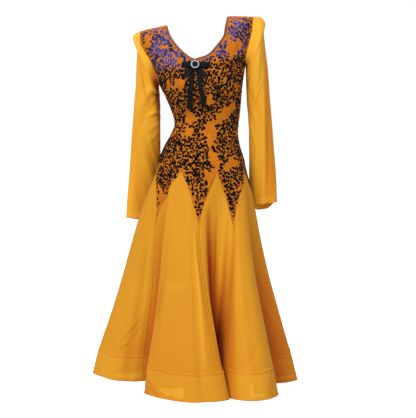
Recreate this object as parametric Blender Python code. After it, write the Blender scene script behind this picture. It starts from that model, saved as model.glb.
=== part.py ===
# A long-sleeved ballroom dance dress, filled out with no wearer: a printed bodice that ends in long points,
# six flared godets let in between the points, a stiff hem band, two sleeves, a bound neck and a ribbon bow
# with a brooch.
# Every size is in millimetres. The front faces -Y, up is +Z, and the origin lies between the shoulders.
import math

import bmesh
import bpy
from mathutils import Vector

MM = 0.001

# Cloth
WALL = 1.4
HEM_WALL = 2.0
SEAM = 0.15
BINDING_WALL = 1.0
RIBBON_WALL = 1.2
RIBBON_WIDTH = 15.0

# Levels
BAND_TOP_Z = -1103.0
HEM_Z = -1188.0

# Body sections: level, sides, front and back of the filled-out form, and how far the skirt's folds have opened
# there.
SECTION_COLUMNS = ("z", "left", "right", "front", "back", "fold")
SECTIONS = (
    (30, -216, 216, -70, 74, 0.0),
    (-40, -212, 206, -80, 80, 0.0),
    (-82, -205, 188, -92, 84, 0.0),
    (-115, -184, 170, -102, 86, 0.0),
    (-150, -160, 156, -109, 86, 0.0),
    (-180, -140, 150, -113, 84, 0.0),
    (-214, -125, 145, -114, 80, 0.0),
    (-257, -104, 141, -106, 74, 0.0),
    (-297, -87, 138, -95, 71, 0.0),
    (-340, -76, 133, -88, 72, 0.0),
    (-375, -88, 131, -90, 82, 0.0),
    (-414, -110, 138, -98, 98, 0.0),
    (-454, -127, 151, -106, 114, 0.0),
    (-500, -137, 161, -112, 124, 0.0),
    (-549, -158, 174, -120, 132, 0.08),
    (-632, -189, 190, -141, 148, 0.22),
    (-732, -219, 208, -172, 172, 0.38),
    (-852, -252, 235, -210, 206, 0.57),
    (-973, -289, 268, -248, 238, 0.74),
    (-1103, -333, 304, -290, 270, 0.91),
    (-1188, -354, 325, -306, 284, 1.0),
)

# Roundness of a section: 1 is an ellipse, less is squarer.
SECTION_POWER = 0.86

# Soft cups of the bust: where they stand, how far they swell and how wide they are.
BUST_COLUMNS = ("x", "z", "swell", "spread")
BUST = (
    (-54, -224, 15, 44),
    (76, -206, 15, 44),
)

# The folds of the skirt, where they cross the hem, seen from above: a heading in degrees round the body (0 is
# the front, 90 the viewer's right), the place of the cloth at the hem, and how late down the skirt it moves
# sideways (1 is evenly, more is later).
FOLD_COLUMNS = ("name", "heading", "x", "y", "lateness")
FOLDS = (
    ("left side flap, back edge", -108, -270, 132, 1.0),
    ("left side flap, crest", -96, -356, 84, 1.0),
    ("left side flap, front", -85, -334, 22, 1.0),
    ("left side flap, hollow", -72, -276, -40, 1.0),
    ("left side flap, front crest", -60, -218, -58, 1.0),
    ("left pleat, outer lip", -51, -166, -52, 1.0),
    ("left pleat, bottom", -44, -138, -98, 0.8),
    ("left front crest, edge", -38, -168, -191, 0.8),
    ("left front crest, shoulder", -30, -140, -242, 1.0),
    ("left front crest, mid", -22, -84, -290, 1.0),
    ("left front crest, top", -12, -14, -318, 1.0),
    ("left front crest, right", -5, 44, -310, 1.6),
    ("centre pleat, left lip", 1, 97, -284, 2.1),
    ("centre pleat, behind the lip", 6, 66, -262, 2.1),
    ("centre pleat, left wall", 11, 42, -224, 1.9),
    ("centre pleat, bottom", 17, 36, -184, 1.7),
    ("centre pleat, floor", 24, 50, -172, 1.7),
    ("centre pleat, right wall", 31, 62, -204, 1.8),
    ("centre pleat, right lip", 38, 78, -246, 1.8),
    ("right front crest, left", 43, 124, -284, 1.4),
    ("right front crest, top", 49, 180, -300, 1.0),
    ("right front crest, shoulder", 55, 230, -268, 1.0),
    ("right front crest, edge", 60, 254, -214, 1.0),
    ("right pleat, bottom", 68, 232, -122, 1.0),
    ("right pleat, outer lip", 75, 252, -84, 1.0),
    ("right side flap, front", 84, 300, -66, 1.0),
    ("right side flap, crest", 92, 330, -24, 1.0),
    ("right side flap, back edge", 101, 300, 54, 1.0),
    ("right back hollow", 112, 262, 128, 1.0),
    ("right back crest, side", 128, 232, 240, 1.0),
    ("right back crest, top", 145, 152, 296, 1.0),
    ("back pleat, right lip", 163, 62, 268, 1.0),
    ("back pleat, bottom", 180, -8, 212, 1.0),
    ("back pleat, left lip", 197, -66, 266, 1.0),
    ("left back crest, top", 216, -152, 298, 1.0),
    ("left back crest, side", 237, -240, 238, 1.0),
)

# Godets: heading and level of the top corner, then the share of bend in the left and right edge of the wedge,
# and the count of cloth strips across it. Wedge n lies between point n and point n + 1 of the table below.
GODET_COLUMNS = ("name", "heading", "z", "left_bend", "right_bend", "strips")
GODETS = (
    ("side_left", -85, -488, 1.4, 2.8, 16),
    ("front_left", -22, -492, 1.85, 1.55, 14),
    ("front_right", 16, -496, 1.8, 1.2, 13),
    ("side_right", 68, -502, 2.0, 1.4, 22),
    ("back_right", 150, -500, 1.5, 1.5, 11),
    ("back_left", 210, -494, 1.5, 1.5, 11),
)

# The long points of the bodice between the godets: heading and level.
POINT_COLUMNS = ("heading", "z")
POINTS = (
    (-120, -680),
    (-54, -676),
    (0, -674),
    (38, -692),
    (115, -684),
    (180, -680),
    (240, -680),
)

# Shares of the height of a wedge at which its edge is set out, and where the bodice's point ends.
EDGE_SHARES = (0.03, 0.12, 0.26, 0.42, 0.6, 0.76, 0.9)
MEETING_SHARE = 0.93
ROWS_BELOW_POINTS = 6
BAND_ROWS = 2

# Shoulder line: the place of the neck corner and of the shoulder tip, each side, and the roundness of the top
NECK_CORNERS = ((-106, -22), (101, 8))
SHOULDER_TIPS = ((-186, -41), (178, 6))
SHOULDER_ROUND = 46.0
SHOULDER_SEAM_Y = 2.0

# Edges of the bodice, from the shoulder down: x and z.
EDGE_COLUMNS = ("x", "z")
FRONT_NECK_LEFT = ((-106, -22), (-89, -67), (-59, -106), (-24, -135), (-8, -140))
FRONT_NECK_RIGHT = ((101, 8), (93, -33), (87, -63), (63, -96), (36, -124), (-8, -140))
BACK_NECK_LEFT = ((-106, -22), (-97, -72), (-70, -124), (-32, -154), (0, -161))
BACK_NECK_RIGHT = ((101, 8), (98, -30), (92, -70), (70, -116), (38, -149), (0, -161))
FRONT_ARM_LEFT = (
    (-186, -41),
    (-183, -82),
    (-170, -107),
    (-150, -140),
    (-140, -165),
    (-129, -192),
    (-125, -214),
)
FRONT_ARM_RIGHT = ((178, 6), (174, -37), (168, -65), (159, -101), (154, -127), (156, -150))
BACK_ARM_LEFT = ((-186, -41), (-178, -80), (-163, -115), (-148, -150), (-134, -184), (-125, -214))
BACK_ARM_RIGHT = ((178, 6), (171, -35), (161, -70), (152, -105), (150, -130), (156, -150))

# Rows of cloth in the bodice, as shares of each stretch.
STRAP_SHARES = (0.0, 0.04, 0.15, 0.32, 0.54, 0.77, 1.0)
CHEST_SHARES = (0.5, 1.0)
BODY_SHARES = (0.14, 0.3, 0.46, 0.62, 0.8, 1.0)
STRAP_ARM_SHARE = 0.88
HALF_STRIPS = 10

# Bodice panels: strips of cloth between one godet and the next, counted from the panel's first side.
FRONT_STRIPS = (8, 5, 7)
BACK_STRIPS = (7, 6, 7)

# Sleeves: each ring has its outer and its inner point and half its depth.
RING_COLUMNS = ("outer_x", "outer_y", "outer_z", "inner_x", "inner_y", "inner_z", "half_depth")
SLEEVE_LEFT = (
    (-209, 0, -59, -128, -8, -227, 62),
    (-196, 2, -100, -126, -6, -245, 60),
    (-199, 4, -140, -125, -2, -266, 56),
    (-203, 8, -215, -124, 4, -305, 52),
    (-211, 16, -292, -124, 18, -356, 48),
    (-219, 32, -378, -125, 44, -412, 43),
    (-225, 52, -452, -127, 82, -474, 38),
    (-231, 70, -526, -128, 118, -536, 34),
    (-238, 84, -602, -128, 148, -604, 31),
    (-242, 95, -660, -130, 168, -672, 30),
)
SLEEVE_RIGHT = (
    (204, 0, 3, 157, -4, -158, 58),
    (218, 0, -16, 157, -4, -172, 60),
    (214, 0, -42, 157, -2, -190, 59),
    (219, 2, -92, 158, 0, -216, 55),
    (229, 6, -165, 159, 6, -256, 51),
    (236, 12, -252, 164, 14, -308, 47),
    (243, 20, -325, 168, 26, -366, 43),
    (251, 34, -415, 170, 46, -440, 40),
    (260, 50, -516, 172, 74, -530, 36),
    (263, 62, -604, 178, 98, -618, 34),
)
SLEEVE_START = 0.5
SLEEVE_STEPS = 1.5

# Creases of the sleeves: the ring they lie on, their place round the sleeve (0 outer, 0.25 front, 0.5 inner),
# how they slant from ring to ring, how wide and how high they are.
CREASE_COLUMNS = ("ring", "place", "slant", "length", "width", "height")
CREASES_LEFT = (
    (3.4, 0.28, -0.07, 1.6, 0.05, 5.0),
    (5.4, 0.2, -0.09, 1.5, 0.05, -4.0),
    (7.2, 0.3, 0.06, 1.6, 0.05, 4.5),
    (8.8, 0.18, 0.05, 1.2, 0.05, -3.5),
    (6.2, 0.72, 0.05, 1.8, 0.06, 4.0),
)
CREASES_RIGHT = (
    (4.2, 0.24, 0.06, 1.6, 0.05, 5.0),
    (6.2, 0.3, -0.06, 1.6, 0.05, -4.0),
    (8.2, 0.14, 0.02, 1.9, 0.05, 5.0),
    (8.8, 0.3, 0.03, 1.2, 0.05, -3.5),
    (6.6, 0.74, -0.05, 1.8, 0.06, 4.0),
)

# Neck binding: how far it shows above the neck edge and how far it reaches below.
BINDING_SHOWS = 3.0
BINDING_REACH = 6.0
BINDING_GAP = 0.8

# Bow: its middle on the chest, the knot, and the paths of its ribbons as x, z and distance off the bodice.
BOW_X = -8.0
BOW_Z = -155.5
KNOT_RADIUS = 9.0
KNOT_FOOT = 0.5
KNOT_TOP = 9.6
PATH_COLUMNS = ("x", "z", "off")
TAIL_LEFT = ((-15.4, -163.9, 2.4), (-18.5, -190, 4.0), (-21.5, -222, 5.0), (-24, -258, 6.0), (-25, -293, 8.0))
TAIL_RIGHT = ((0.4, -163.5, 2.4), (4.5, -190, 4.4), (9.5, -222, 5.6), (15.5, -256, 6.6), (20, -289, 8.4))
WING_LEFT = ((-20.0, -169.5, 4.6), (-27, -176, 6.4), (-36, -186, 6.6), (-44, -195, 5.0))
WING_RIGHT = ((4.5, -169.5, 4.6), (10.5, -175, 6.4), (18.5, -183, 6.6), (27, -192, 5.0))
WING_WIDTH = 13.0
LOOP_LENGTHS = (44.0, 49.0)
LOOP_NEAR = 9.6
LOOP_HEIGHT = 14.0
LOOP_BELLY = 4.6
LOOP_OFF = 7.4

# Brooch: the ring of stones and the stone in its middle.
STONES = 12
RIM_RADIUS = 14.4
RIM_INNER = 7.9
RIM_FOOT = 10.0
RIM_TOP = 13.4
CENTRE_RADIUS = 7.4
CENTRE_TOP = 15.0

COLOURS = {
    "printed cloth": (0.30, 0.15, 0.05, 1.0),
    "plain cloth": (0.80, 0.40, 0.04, 1.0),
    "binding cloth": (0.55, 0.24, 0.05, 1.0),
    "ribbon": (0.02, 0.02, 0.03, 1.0),
    "clear stone": (0.85, 0.87, 0.9, 1.0),
    "black stone": (0.01, 0.01, 0.012, 1.0),
}


def smooth_rows(rows, at, first):
    """Value of every column after the first at a place between rows, on a curve through all of them."""
    index = 0
    falling = rows[0][first] > rows[-1][first]
    while index < len(rows) - 2 and (at < rows[index + 1][first]) == falling and at != rows[index + 1][first]:
        index += 1
    before = rows[max(index - 1, 0)]
    here = rows[index]
    there = rows[index + 1]
    after = rows[min(index + 2, len(rows) - 1)]
    span = there[first] - here[first]
    share = min(max((at - here[first]) / span, 0.0), 1.0)
    values = []
    for column in range(first + 1, len(here)):
        start = slope(before, there, column, first) * span
        end = slope(here, after, column, first) * span
        values.append(hermite(here[column], start, there[column], end, share))
    return values


def slope(one, other, column, first):
    return (other[column] - one[column]) / (other[first] - one[first])


def hermite(here, start, there, end, share):
    square = share * share
    cube = square * share
    return (
        (2 * cube - 3 * square + 1) * here
        + (cube - 2 * square + share) * start
        + (3 * square - 2 * cube) * there
        + (cube - square) * end
    )


def mix(one, other, share):
    return one + (other - one) * share


def power(value, exponent):
    return math.copysign(abs(value) ** exponent, value)


def fold_rows():
    """The fold table with a turn added before and after it, so that the curve closes."""
    plain = [row[1:] for row in FOLDS]
    before = [(row[0] - 360, *row[1:]) for row in plain[-3:]]
    after = [(row[0] + 360, *row[1:]) for row in plain[:3]]
    return before + plain + after


FOLD_CURVE = fold_rows()
FOLD_FIRST = FOLDS[0][1]


def section_point(section, heading):
    left, right, front, back = section[:4]
    angle = math.radians(heading)
    x = (left + right) / 2 + (right - left) / 2 * power(math.sin(angle), SECTION_POWER)
    y = (front + back) / 2 - (back - front) / 2 * power(math.cos(angle), SECTION_POWER)
    return x, y


HEM_SECTION = SECTIONS[-1][1:]


def bust_swell(x, z):
    total = 0.0
    for at_x, at_z, swell, spread in BUST:
        apart = (x - at_x) ** 2 + (z - at_z) ** 2
        total += swell * math.exp(-apart / (2 * spread * spread))
    return total


def body(heading, z):
    """Outside of the dress at a heading round the body and a level, with the folds of the skirt."""
    section = smooth_rows(SECTIONS, z, 0)
    x, y = section_point(section, heading)
    fold = section[4]
    if fold > 0.0:
        turn = (heading - FOLD_FIRST) % 360 + FOLD_FIRST
        fold_x, fold_y, lateness = smooth_rows(FOLD_CURVE, turn, 0)
        hem_x, hem_y = section_point(HEM_SECTION, heading)
        x += fold**lateness * (fold_x - hem_x)
        y += fold * (fold_y - hem_y)
    front = math.cos(math.radians(heading))
    if front > 0.0 and z > -400:
        y -= bust_swell(x, z) * min(1.0, 2.0 * front)
    return Vector((x, y, z))


def heading_at(x, z, side):
    """Heading at which the body has this x, on the front (1) or on the back (-1)."""
    left, right = smooth_rows(SECTIONS, z, 0)[:2]
    share = (x - (left + right) / 2) / ((right - left) / 2)
    share = min(max(share, -1.0), 1.0)
    angle = math.degrees(math.asin(power(share, 1 / SECTION_POWER)))
    return angle if side > 0 else 180 - angle


def ridge(x):
    """Level of the shoulder line above this x."""
    side = 0 if x < 0 else 1
    neck_x, neck_z = NECK_CORNERS[side]
    tip_x, tip_z = SHOULDER_TIPS[side]
    return neck_z + (x - neck_x) * (tip_z - neck_z) / (tip_x - neck_x)


def shoulder_point(x, lean):
    """Place on the rounded top of the shoulder. Lean is -90 at the back, 0 at the seam and 90 in front."""
    angle = math.radians(lean)
    side = 1 if lean >= 0 else -1
    z = ridge(x) - SHOULDER_ROUND * (1 - math.cos(angle))
    y = body(heading_at(x, z, side), z).y
    y = SHOULDER_SEAM_Y + (y - SHOULDER_SEAM_Y) * abs(math.sin(angle))
    return Vector((x, y, z))


def body_place(heading, z):
    """Point and outward direction of the dress's outside."""
    across = body(heading + 0.4, z) - body(heading - 0.4, z)
    upward = body(heading, z + 1.0) - body(heading, z - 1.0)
    return body(heading, z), across.cross(upward).normalized()


def chest_place(x, z, side):
    """Point and outward direction of the upper bodice at this x and level, front or back."""
    drop = ridge(x) - z
    if drop >= SHOULDER_ROUND:
        return body_place(heading_at(x, z, side), z)
    lean = side * math.degrees(math.acos(min(1.0, 1 - drop / SHOULDER_ROUND)))
    across = shoulder_point(x + 1.0, lean) - shoulder_point(x - 1.0, lean)
    forward = shoulder_point(x, lean + 1.0) - shoulder_point(x, lean - 1.0)
    return shoulder_point(x, lean), forward.cross(across).normalized()


def along(line, share):
    """Place on a line of points, by its share of the line's length."""
    lengths = [math.dist(line[i], line[i + 1]) for i in range(len(line) - 1)]
    total = sum(lengths)
    travelled = 0.0
    rows = []
    for index, place in enumerate(line):
        rows.append((travelled / total, *place))
        if index < len(lengths):
            travelled += lengths[index]
    return smooth_rows(rows, share, 0)


def edge_heading(start, end, bend, share):
    if share >= MEETING_SHARE:
        return end
    return end - (end - start) * (1 - share) ** bend


def wedge_edge(godet, point, bend, share):
    """Heading and level on the edge of a wedge, from its top corner to the bodice's point beside it."""
    heading = edge_heading(godet[1], point[0], bend, share)
    return heading, mix(godet[2], point[1], share)


def quads_between(rows):
    """Faces between rows of equal length, as numbers of points counted row by row."""
    width = len(rows[0])
    faces = []
    for row in range(len(rows) - 1):
        for column in range(width - 1):
            first = row * width + column
            faces.append((first, first + 1, first + width + 1, first + width))
    return faces


def panel_rows(places):
    return [place for row in places for place in row]


def rim_of(faces):
    """Edges of the panel that only one face has, in the direction of that face."""
    seen = {}
    for face in faces:
        for index, start in enumerate(face):
            end = face[(index + 1) % len(face)]
            seen[(start, end)] = True
    return [edge for edge in seen if (edge[1], edge[0]) not in seen]


def facing_out(places, faces):
    """The same faces, turned so that they look the way the points' own directions do."""
    total = 0.0
    for face in faces:
        corners = [places[index][0] for index in face]
        normal = (corners[2] - corners[0]).cross(corners[3] - corners[1])
        total += normal.dot(places[face[0]][1])
    return faces if total > 0 else [tuple(reversed(face)) for face in faces]


def drawn_in(places, faces, amount):
    """The panel with its rim moved inward along the cloth, which leaves the seam gap to its neighbours."""
    inward = {}
    for start, end in rim_of(faces):
        edge = places[end][0] - places[start][0]
        normal = places[start][1] + places[end][1]
        step = normal.cross(edge).normalized()
        inward.setdefault(start, []).append(step)
        inward.setdefault(end, []).append(step)
    moved = list(places)
    for index, steps in inward.items():
        total = steps[0] + steps[1]
        size = max(1 + steps[0].dot(steps[1]), 1.0)
        moved[index] = (places[index][0] + total * (amount / size), places[index][1])
    return moved


def cloth_wall(places, faces, thickness):
    """Points and faces of a closed wall: the outside, the inside and the rim between them."""
    count = len(places)
    points = [place for place, _ in places]
    points += [place - direction * thickness for place, direction in places]
    closed = list(faces)
    closed += [tuple(count + index for index in reversed(face)) for face in faces]
    closed += [(end, start, count + start, count + end) for start, end in rim_of(faces)]
    return points, closed


def sewn_panel(name, places, faces, thickness, colour, smooth=True):
    faces = facing_out(places, faces)
    places = drawn_in(places, faces, SEAM)
    points, closed = cloth_wall(places, faces, thickness)
    return add_solid(name, points, closed, colour, smooth)


def add_solid(name, points, faces, colour, smooth=True):
    mesh = bpy.data.meshes.new(name)
    mesh.from_pydata([point * MM for point in points], [], faces)
    shape = bmesh.new()
    shape.from_mesh(mesh)
    bmesh.ops.recalc_face_normals(shape, faces=shape.faces)
    bmesh.ops.triangulate(shape, faces=shape.faces)
    shape.to_mesh(mesh)
    shape.free()
    for face in mesh.polygons:
        face.use_smooth = smooth
    solid = bpy.data.objects.new(name, mesh)
    solid.data.materials.append(material(name, COLOURS[colour], colour))
    bpy.data.collections[COLLECTION].objects.link(solid)
    return solid


def material(name, colour, kind):
    made = bpy.data.materials.new("mat_" + name)
    made.use_nodes = True
    shader = made.node_tree.nodes["Principled BSDF"]
    shader.inputs["Base Color"].default_value = colour
    shader.inputs["Roughness"].default_value = 0.15 if "stone" in kind else 0.8
    made.diffuse_color = colour
    return made


# Bodice


def strap_rows(arm_left, arm_right, neck_left, neck_right):
    """Rows from the shoulders down to the bottom of the neck opening, as x and z."""
    rows = []
    for share in STRAP_SHARES:
        left_arm = along(arm_left, share * STRAP_ARM_SHARE)
        right_arm = along(arm_right, share * STRAP_ARM_SHARE)
        left_neck = along(neck_left, share)
        right_neck = along(neck_right, share)
        row = [lerp_pair(left_arm, left_neck, k / HALF_STRIPS) for k in range(HALF_STRIPS + 1)]
        row_right = [lerp_pair(right_neck, right_arm, k / HALF_STRIPS) for k in range(HALF_STRIPS + 1)]
        rows.append((row, row_right))
    return rows


def lerp_pair(one, other, share):
    return mix(one[0], other[0], share), mix(one[1], other[1], share)


def bodice_columns(strips, godets):
    """Headings of the columns at the underarm and at the godets, and the level of each column there."""
    top = []
    bottom = []
    levels = []
    reached = 0
    total = sum(strips)
    for part, count in enumerate(strips):
        start = godets[part]
        end = godets[part + 1]
        for step in range(count + (part == len(strips) - 1)):
            bottom.append(mix(start[1], end[1], step / count))
            levels.append(mix(start[2], end[2], step / count))
            top.append((reached + step) / total)
        reached += count
    return top, bottom, levels


def bodice(name, side, godets, points, strips, edges):
    arm_left, arm_right, neck_left, neck_right = edges
    places = []
    faces = []
    width = 2 * HALF_STRIPS + 1

    straps = strap_rows(arm_left, arm_right, neck_left, neck_right)
    rows = []
    for left_row, right_row in straps[:-1]:
        first = len(places)
        places += [chest_place(x, z, side) for x, z in left_row + right_row]
        rows.append(list(range(first, first + 2 * HALF_STRIPS + 2)))
    left_row, right_row = straps[-1]
    lowest = left_row + right_row[1:]
    for upper, lower in zip(rows, rows[1:]):
        for column in range(HALF_STRIPS):
            for shift in (0, HALF_STRIPS + 1):
                k = column + shift
                faces.append((upper[k], upper[k + 1], lower[k + 1], lower[k]))
    first = len(places)
    places += [chest_place(x, z, side) for x, z in lowest]
    joined = list(range(first, first + width))
    upper = rows[-1]
    for column in range(HALF_STRIPS):
        faces.append((upper[column], upper[column + 1], joined[column + 1], joined[column]))
        k = column + HALF_STRIPS
        faces.append((upper[k + 1], upper[k + 2], joined[k + 1], joined[k]))

    # Chest, from the bottom of the neck opening to the underarms
    top, bottom, levels = bodice_columns(strips, godets)
    if side > 0:
        underarm_headings = [mix(-90, 90, share) for share in top]
    else:
        underarm_headings = [mix(270, 90, k / (width - 1)) for k in range(width)]
        bottom.reverse()
        levels.reverse()
    arm_ends = arm_left[-1][1], arm_right[-1][1]
    underarm_levels = [mix(arm_ends[0], arm_ends[1], k / (width - 1)) for k in range(width)]
    previous = joined
    for share in CHEST_SHARES:
        left_edge = along(arm_left, mix(STRAP_ARM_SHARE, 1.0, share))
        right_edge = along(arm_right, mix(STRAP_ARM_SHARE, 1.0, share))
        row = chest_row(lowest, underarm_headings, underarm_levels, share, left_edge, right_edge)
        first = len(places)
        if share < 1.0:
            places += [chest_place(x, z, side) for x, z in row]
        else:
            places += [body_place(h, z) for h, z in zip(underarm_headings, underarm_levels)]
        current = list(range(first, first + width))
        faces += strip_faces(previous, current)
        previous = current

    # Waist and hip, down to the top corners of the godets
    for share in BODY_SHARES:
        first = len(places)
        for k in range(width):
            heading = mix(underarm_headings[k], bottom[k], share)
            level = mix(underarm_levels[k], levels[k], share)
            places.append(body_place(heading, level))
        current = list(range(first, first + width))
        faces += strip_faces(previous, current)
        previous = current

    # The points between the godets
    counts = strips if side > 0 else tuple(reversed(strips))
    lefts = godets if side > 0 else tuple(reversed(godets))
    tips = points if side > 0 else tuple(reversed(points))
    column = 0
    for part, count in enumerate(counts):
        left = lefts[part]
        right = lefts[part + 1]
        tip = tips[part]
        upper = previous[column : column + count + 1]
        for share in EDGE_SHARES:
            start = wedge_edge(left, tip, left[4] if side > 0 else left[3], share)
            end = wedge_edge(right, tip, right[3] if side > 0 else right[4], share)
            first = len(places)
            for step in range(count + 1):
                places.append(body_place(*lerp_pair(start, end, step / count)))
            lower = list(range(first, first + count + 1))
            faces += strip_faces(upper, lower)
            upper = lower
        column += count
    return sewn_panel(name, places, faces, WALL, "printed cloth")


def strip_faces(upper, lower):
    return [(upper[k], upper[k + 1], lower[k + 1], lower[k]) for k in range(len(upper) - 1)]


def chest_row(upper, headings, levels, share, left_edge, right_edge):
    """A row between the bottom of the neck opening and the underarms whose ends lie on the armhole edges."""
    row = []
    last = len(upper) - 1
    for k, (x, z) in enumerate(upper):
        low = body(headings[k], levels[k])
        row.append((mix(x, low.x, share), mix(z, low.z, share)))
    left_off = (left_edge[0] - row[0][0], left_edge[1] - row[0][1])
    right_off = (right_edge[0] - row[last][0], right_edge[1] - row[last][1])
    shifted = []
    for k, (x, z) in enumerate(row):
        left_pull = max(0.0, 1 - 3 * k / last)
        right_pull = max(0.0, 1 - 3 * (last - k) / last)
        shift_x = left_off[0] * left_pull + right_off[0] * right_pull
        shift_z = left_off[1] * left_pull + right_off[1] * right_pull
        shifted.append((x + shift_x, z + shift_z))
    return shifted


def make_bodice():
    front_edges = (FRONT_ARM_LEFT, FRONT_ARM_RIGHT, FRONT_NECK_LEFT, FRONT_NECK_RIGHT)
    back_edges = (BACK_ARM_LEFT, BACK_ARM_RIGHT, BACK_NECK_LEFT, BACK_NECK_RIGHT)
    bodice("bodice_front", 1, GODETS[:4], POINTS[1:4], FRONT_STRIPS, front_edges)
    side_left_again = ("side_left", GODETS[0][1] + 360, *GODETS[0][2:])
    bodice("bodice_back", -1, GODETS[3:] + (side_left_again,), POINTS[4:7], BACK_STRIPS, back_edges)


# Skirt


def godet_rows(godet, left_point, right_point):
    rows = []
    for share in EDGE_SHARES + (MEETING_SHARE, 1.0):
        left = wedge_edge(godet, left_point, godet[3], share)
        right = wedge_edge(godet, right_point, godet[4], share)
        rows.append((left, right))
    for step in range(1, ROWS_BELOW_POINTS + 1):
        share = step / ROWS_BELOW_POINTS
        left = (left_point[0], mix(left_point[1], BAND_TOP_Z, share))
        right = (right_point[0], mix(right_point[1], BAND_TOP_Z, share))
        rows.append((left, right))
    return rows


def make_skirt():
    for index, godet in enumerate(GODETS):
        left_point = POINTS[index]
        right_point = POINTS[index + 1]
        strips = godet[5]
        rows = []
        for left, right in godet_rows(godet, left_point, right_point):
            rows.append([body_place(*lerp_pair(left, right, k / strips)) for k in range(strips + 1)])
        sewn_panel("godet_" + godet[0], panel_rows(rows), quads_between(rows), WALL, "plain cloth")

        band = []
        for step in range(BAND_ROWS + 1):
            level = mix(BAND_TOP_Z, HEM_Z, step / BAND_ROWS)
            headings = [mix(left_point[0], right_point[0], k / strips) for k in range(strips + 1)]
            band.append([body_place(heading, level) for heading in headings])
        sewn_panel("hem_" + godet[0], panel_rows(band), quads_between(band), HEM_WALL, "plain cloth")


# Sleeves


def armhole_loop(front, back):
    """Armhole edge from the shoulder tip down the front and up the back, as points on the bodice."""
    shares = [share * STRAP_ARM_SHARE for share in STRAP_SHARES]
    shares += [mix(STRAP_ARM_SHARE, 1.0, share) for share in CHEST_SHARES]
    loop = [chest_place(*along(front, share), 1)[0] for share in shares]
    loop += [chest_place(*along(back, share), -1)[0] for share in reversed(shares[1:-1])]
    return loop


def ring_point(ring, place):
    """Point of an arm ring: place 0 is the outer side, 0.25 the front, 0.5 the inner side."""
    outer = Vector(ring[0:3])
    inner = Vector(ring[3:6])
    middle = (outer + inner) / 2
    across = (outer - inner) / 2
    forward = Vector((across.y, -across.x, 0)).normalized()
    if forward.y > 0:
        forward = -forward
    angle = 2 * math.pi * place
    return middle + across * math.cos(angle) + forward * ring[6] * power(math.sin(angle), 0.9)


def ring_centre(ring):
    return (Vector(ring[0:3]) + Vector(ring[3:6])) / 2


def crease_height(creases, ring, place):
    total = 0.0
    for at_ring, at_place, slant, length, width, height in creases:
        along_it = (ring - at_ring) / length
        across = (place - at_place - slant * (ring - at_ring) + 0.5) % 1.0 - 0.5
        total += height * math.exp(-(along_it**2) - (across / width) ** 2)
    return total


def sleeve(name, loop, rings, creases):
    count = len(loop)
    outward = -1 if rings[0][0] < 0 else 1
    columns = []
    for index, start in enumerate(loop):
        place = index / count
        away = Vector((outward, 0, -0.3 if place < 0.4 or place > 0.6 else -3.0)).normalized()
        points = [start + away * SLEEVE_START]
        points += [ring_point(ring, place) for ring in rings]
        columns.append(points)
    steps = int((len(rings)) * SLEEVE_STEPS)
    lines = []
    for step in range(steps + 1):
        at = step * len(rings) / steps
        line = []
        for index, column in enumerate(columns):
            rows = [(number, *point) for number, point in enumerate(column)]
            line.append(Vector(smooth_rows(rows, at, 0)))
        lines.append(line)
    places = []
    for step, line in enumerate(lines):
        at = step * len(rings) / steps
        for index, point in enumerate(line):
            direction = grid_normal(lines, step, index, outward)
            height = crease_height(creases, at, index / count)
            places.append((point + direction * height, direction))
    faces = []
    for step in range(steps):
        for index in range(count):
            after = (index + 1) % count
            first = step * count
            second = first + count
            faces.append((first + index, first + after, second + after, second + index))
    return sewn_panel(name, places, faces, WALL, "plain cloth")


def grid_normal(lines, step, index, outward):
    """Outward direction of a closed sleeve grid at one of its points."""
    count = len(lines[0])
    above = lines[max(step - 1, 0)][index]
    below = lines[min(step + 1, len(lines) - 1)][index]
    before = lines[step][index - 1]
    after = lines[step][(index + 1) % count]
    return (after - before).cross(below - above).normalized() * outward


def make_sleeves():
    left = armhole_loop(FRONT_ARM_LEFT, BACK_ARM_LEFT)
    right = armhole_loop(FRONT_ARM_RIGHT, BACK_ARM_RIGHT)
    sleeve("sleeve_left", left, SLEEVE_LEFT, CREASES_LEFT)
    sleeve("sleeve_right", right, SLEEVE_RIGHT, CREASES_RIGHT)


# Neck binding


def make_binding():
    loop = neck_loop()
    count = len(loop)
    upper = []
    lower = []
    for index, (point, normal) in enumerate(loop):
        edge = loop[(index + 1) % count][0] - loop[index - 1][0]
        rise = edge.cross(normal).normalized()
        base = point - normal * (WALL + BINDING_GAP)
        upper.append((base + rise * BINDING_SHOWS, normal))
        lower.append((base - rise * BINDING_REACH, normal))
    places = upper + lower
    faces = []
    for index in range(count):
        after = (index + 1) % count
        faces.append((index, after, count + after, count + index))
    return sewn_panel("neck_binding", places, faces, BINDING_WALL, "binding cloth")


def neck_loop():
    """Places round the neck edge: down the front from its left corner, up to the right, and back behind."""
    shares = STRAP_SHARES
    loop = [chest_place(*along(FRONT_NECK_LEFT, share), 1) for share in shares]
    loop += [chest_place(*along(FRONT_NECK_RIGHT, share), 1) for share in reversed(shares[:-1])]
    loop += [chest_place(*along(BACK_NECK_RIGHT, share), -1) for share in shares[1:]]
    loop += [chest_place(*along(BACK_NECK_LEFT, share), -1) for share in reversed(shares[1:-1])]
    return loop


# Bow and brooch


def ribbon(name, path, width):
    """A flat ribbon whose middle follows a path off the bodice."""
    spots = []
    for x, z, off in path:
        point, normal = chest_place(x, z, 1)
        spots.append((point + normal * off, normal))
    rows = []
    for index, (point, normal) in enumerate(spots):
        before = spots[max(index - 1, 0)][0]
        after = spots[min(index + 1, len(spots) - 1)][0]
        across = (after - before).cross(normal).normalized() * (width / 2)
        facing = across.cross(after - before).normalized()
        if facing.dot(normal) < 0:
            facing = -facing
        row = [(point + across * side, facing) for side in (-1, -0.33, 0.33, 1)]
        rows.append(row)
    return sewn_panel(name, panel_rows(rows), quads_between(rows), RIBBON_WALL, "ribbon")


def bow_frame():
    point, normal = chest_place(BOW_X, BOW_Z, 1)
    across = Vector((1, 0, 0))
    upward = normal.cross(across).normalized()
    if upward.z < 0:
        upward = -upward
    across = across - normal * across.dot(normal)
    return point, normal, across.normalized(), upward


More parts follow.
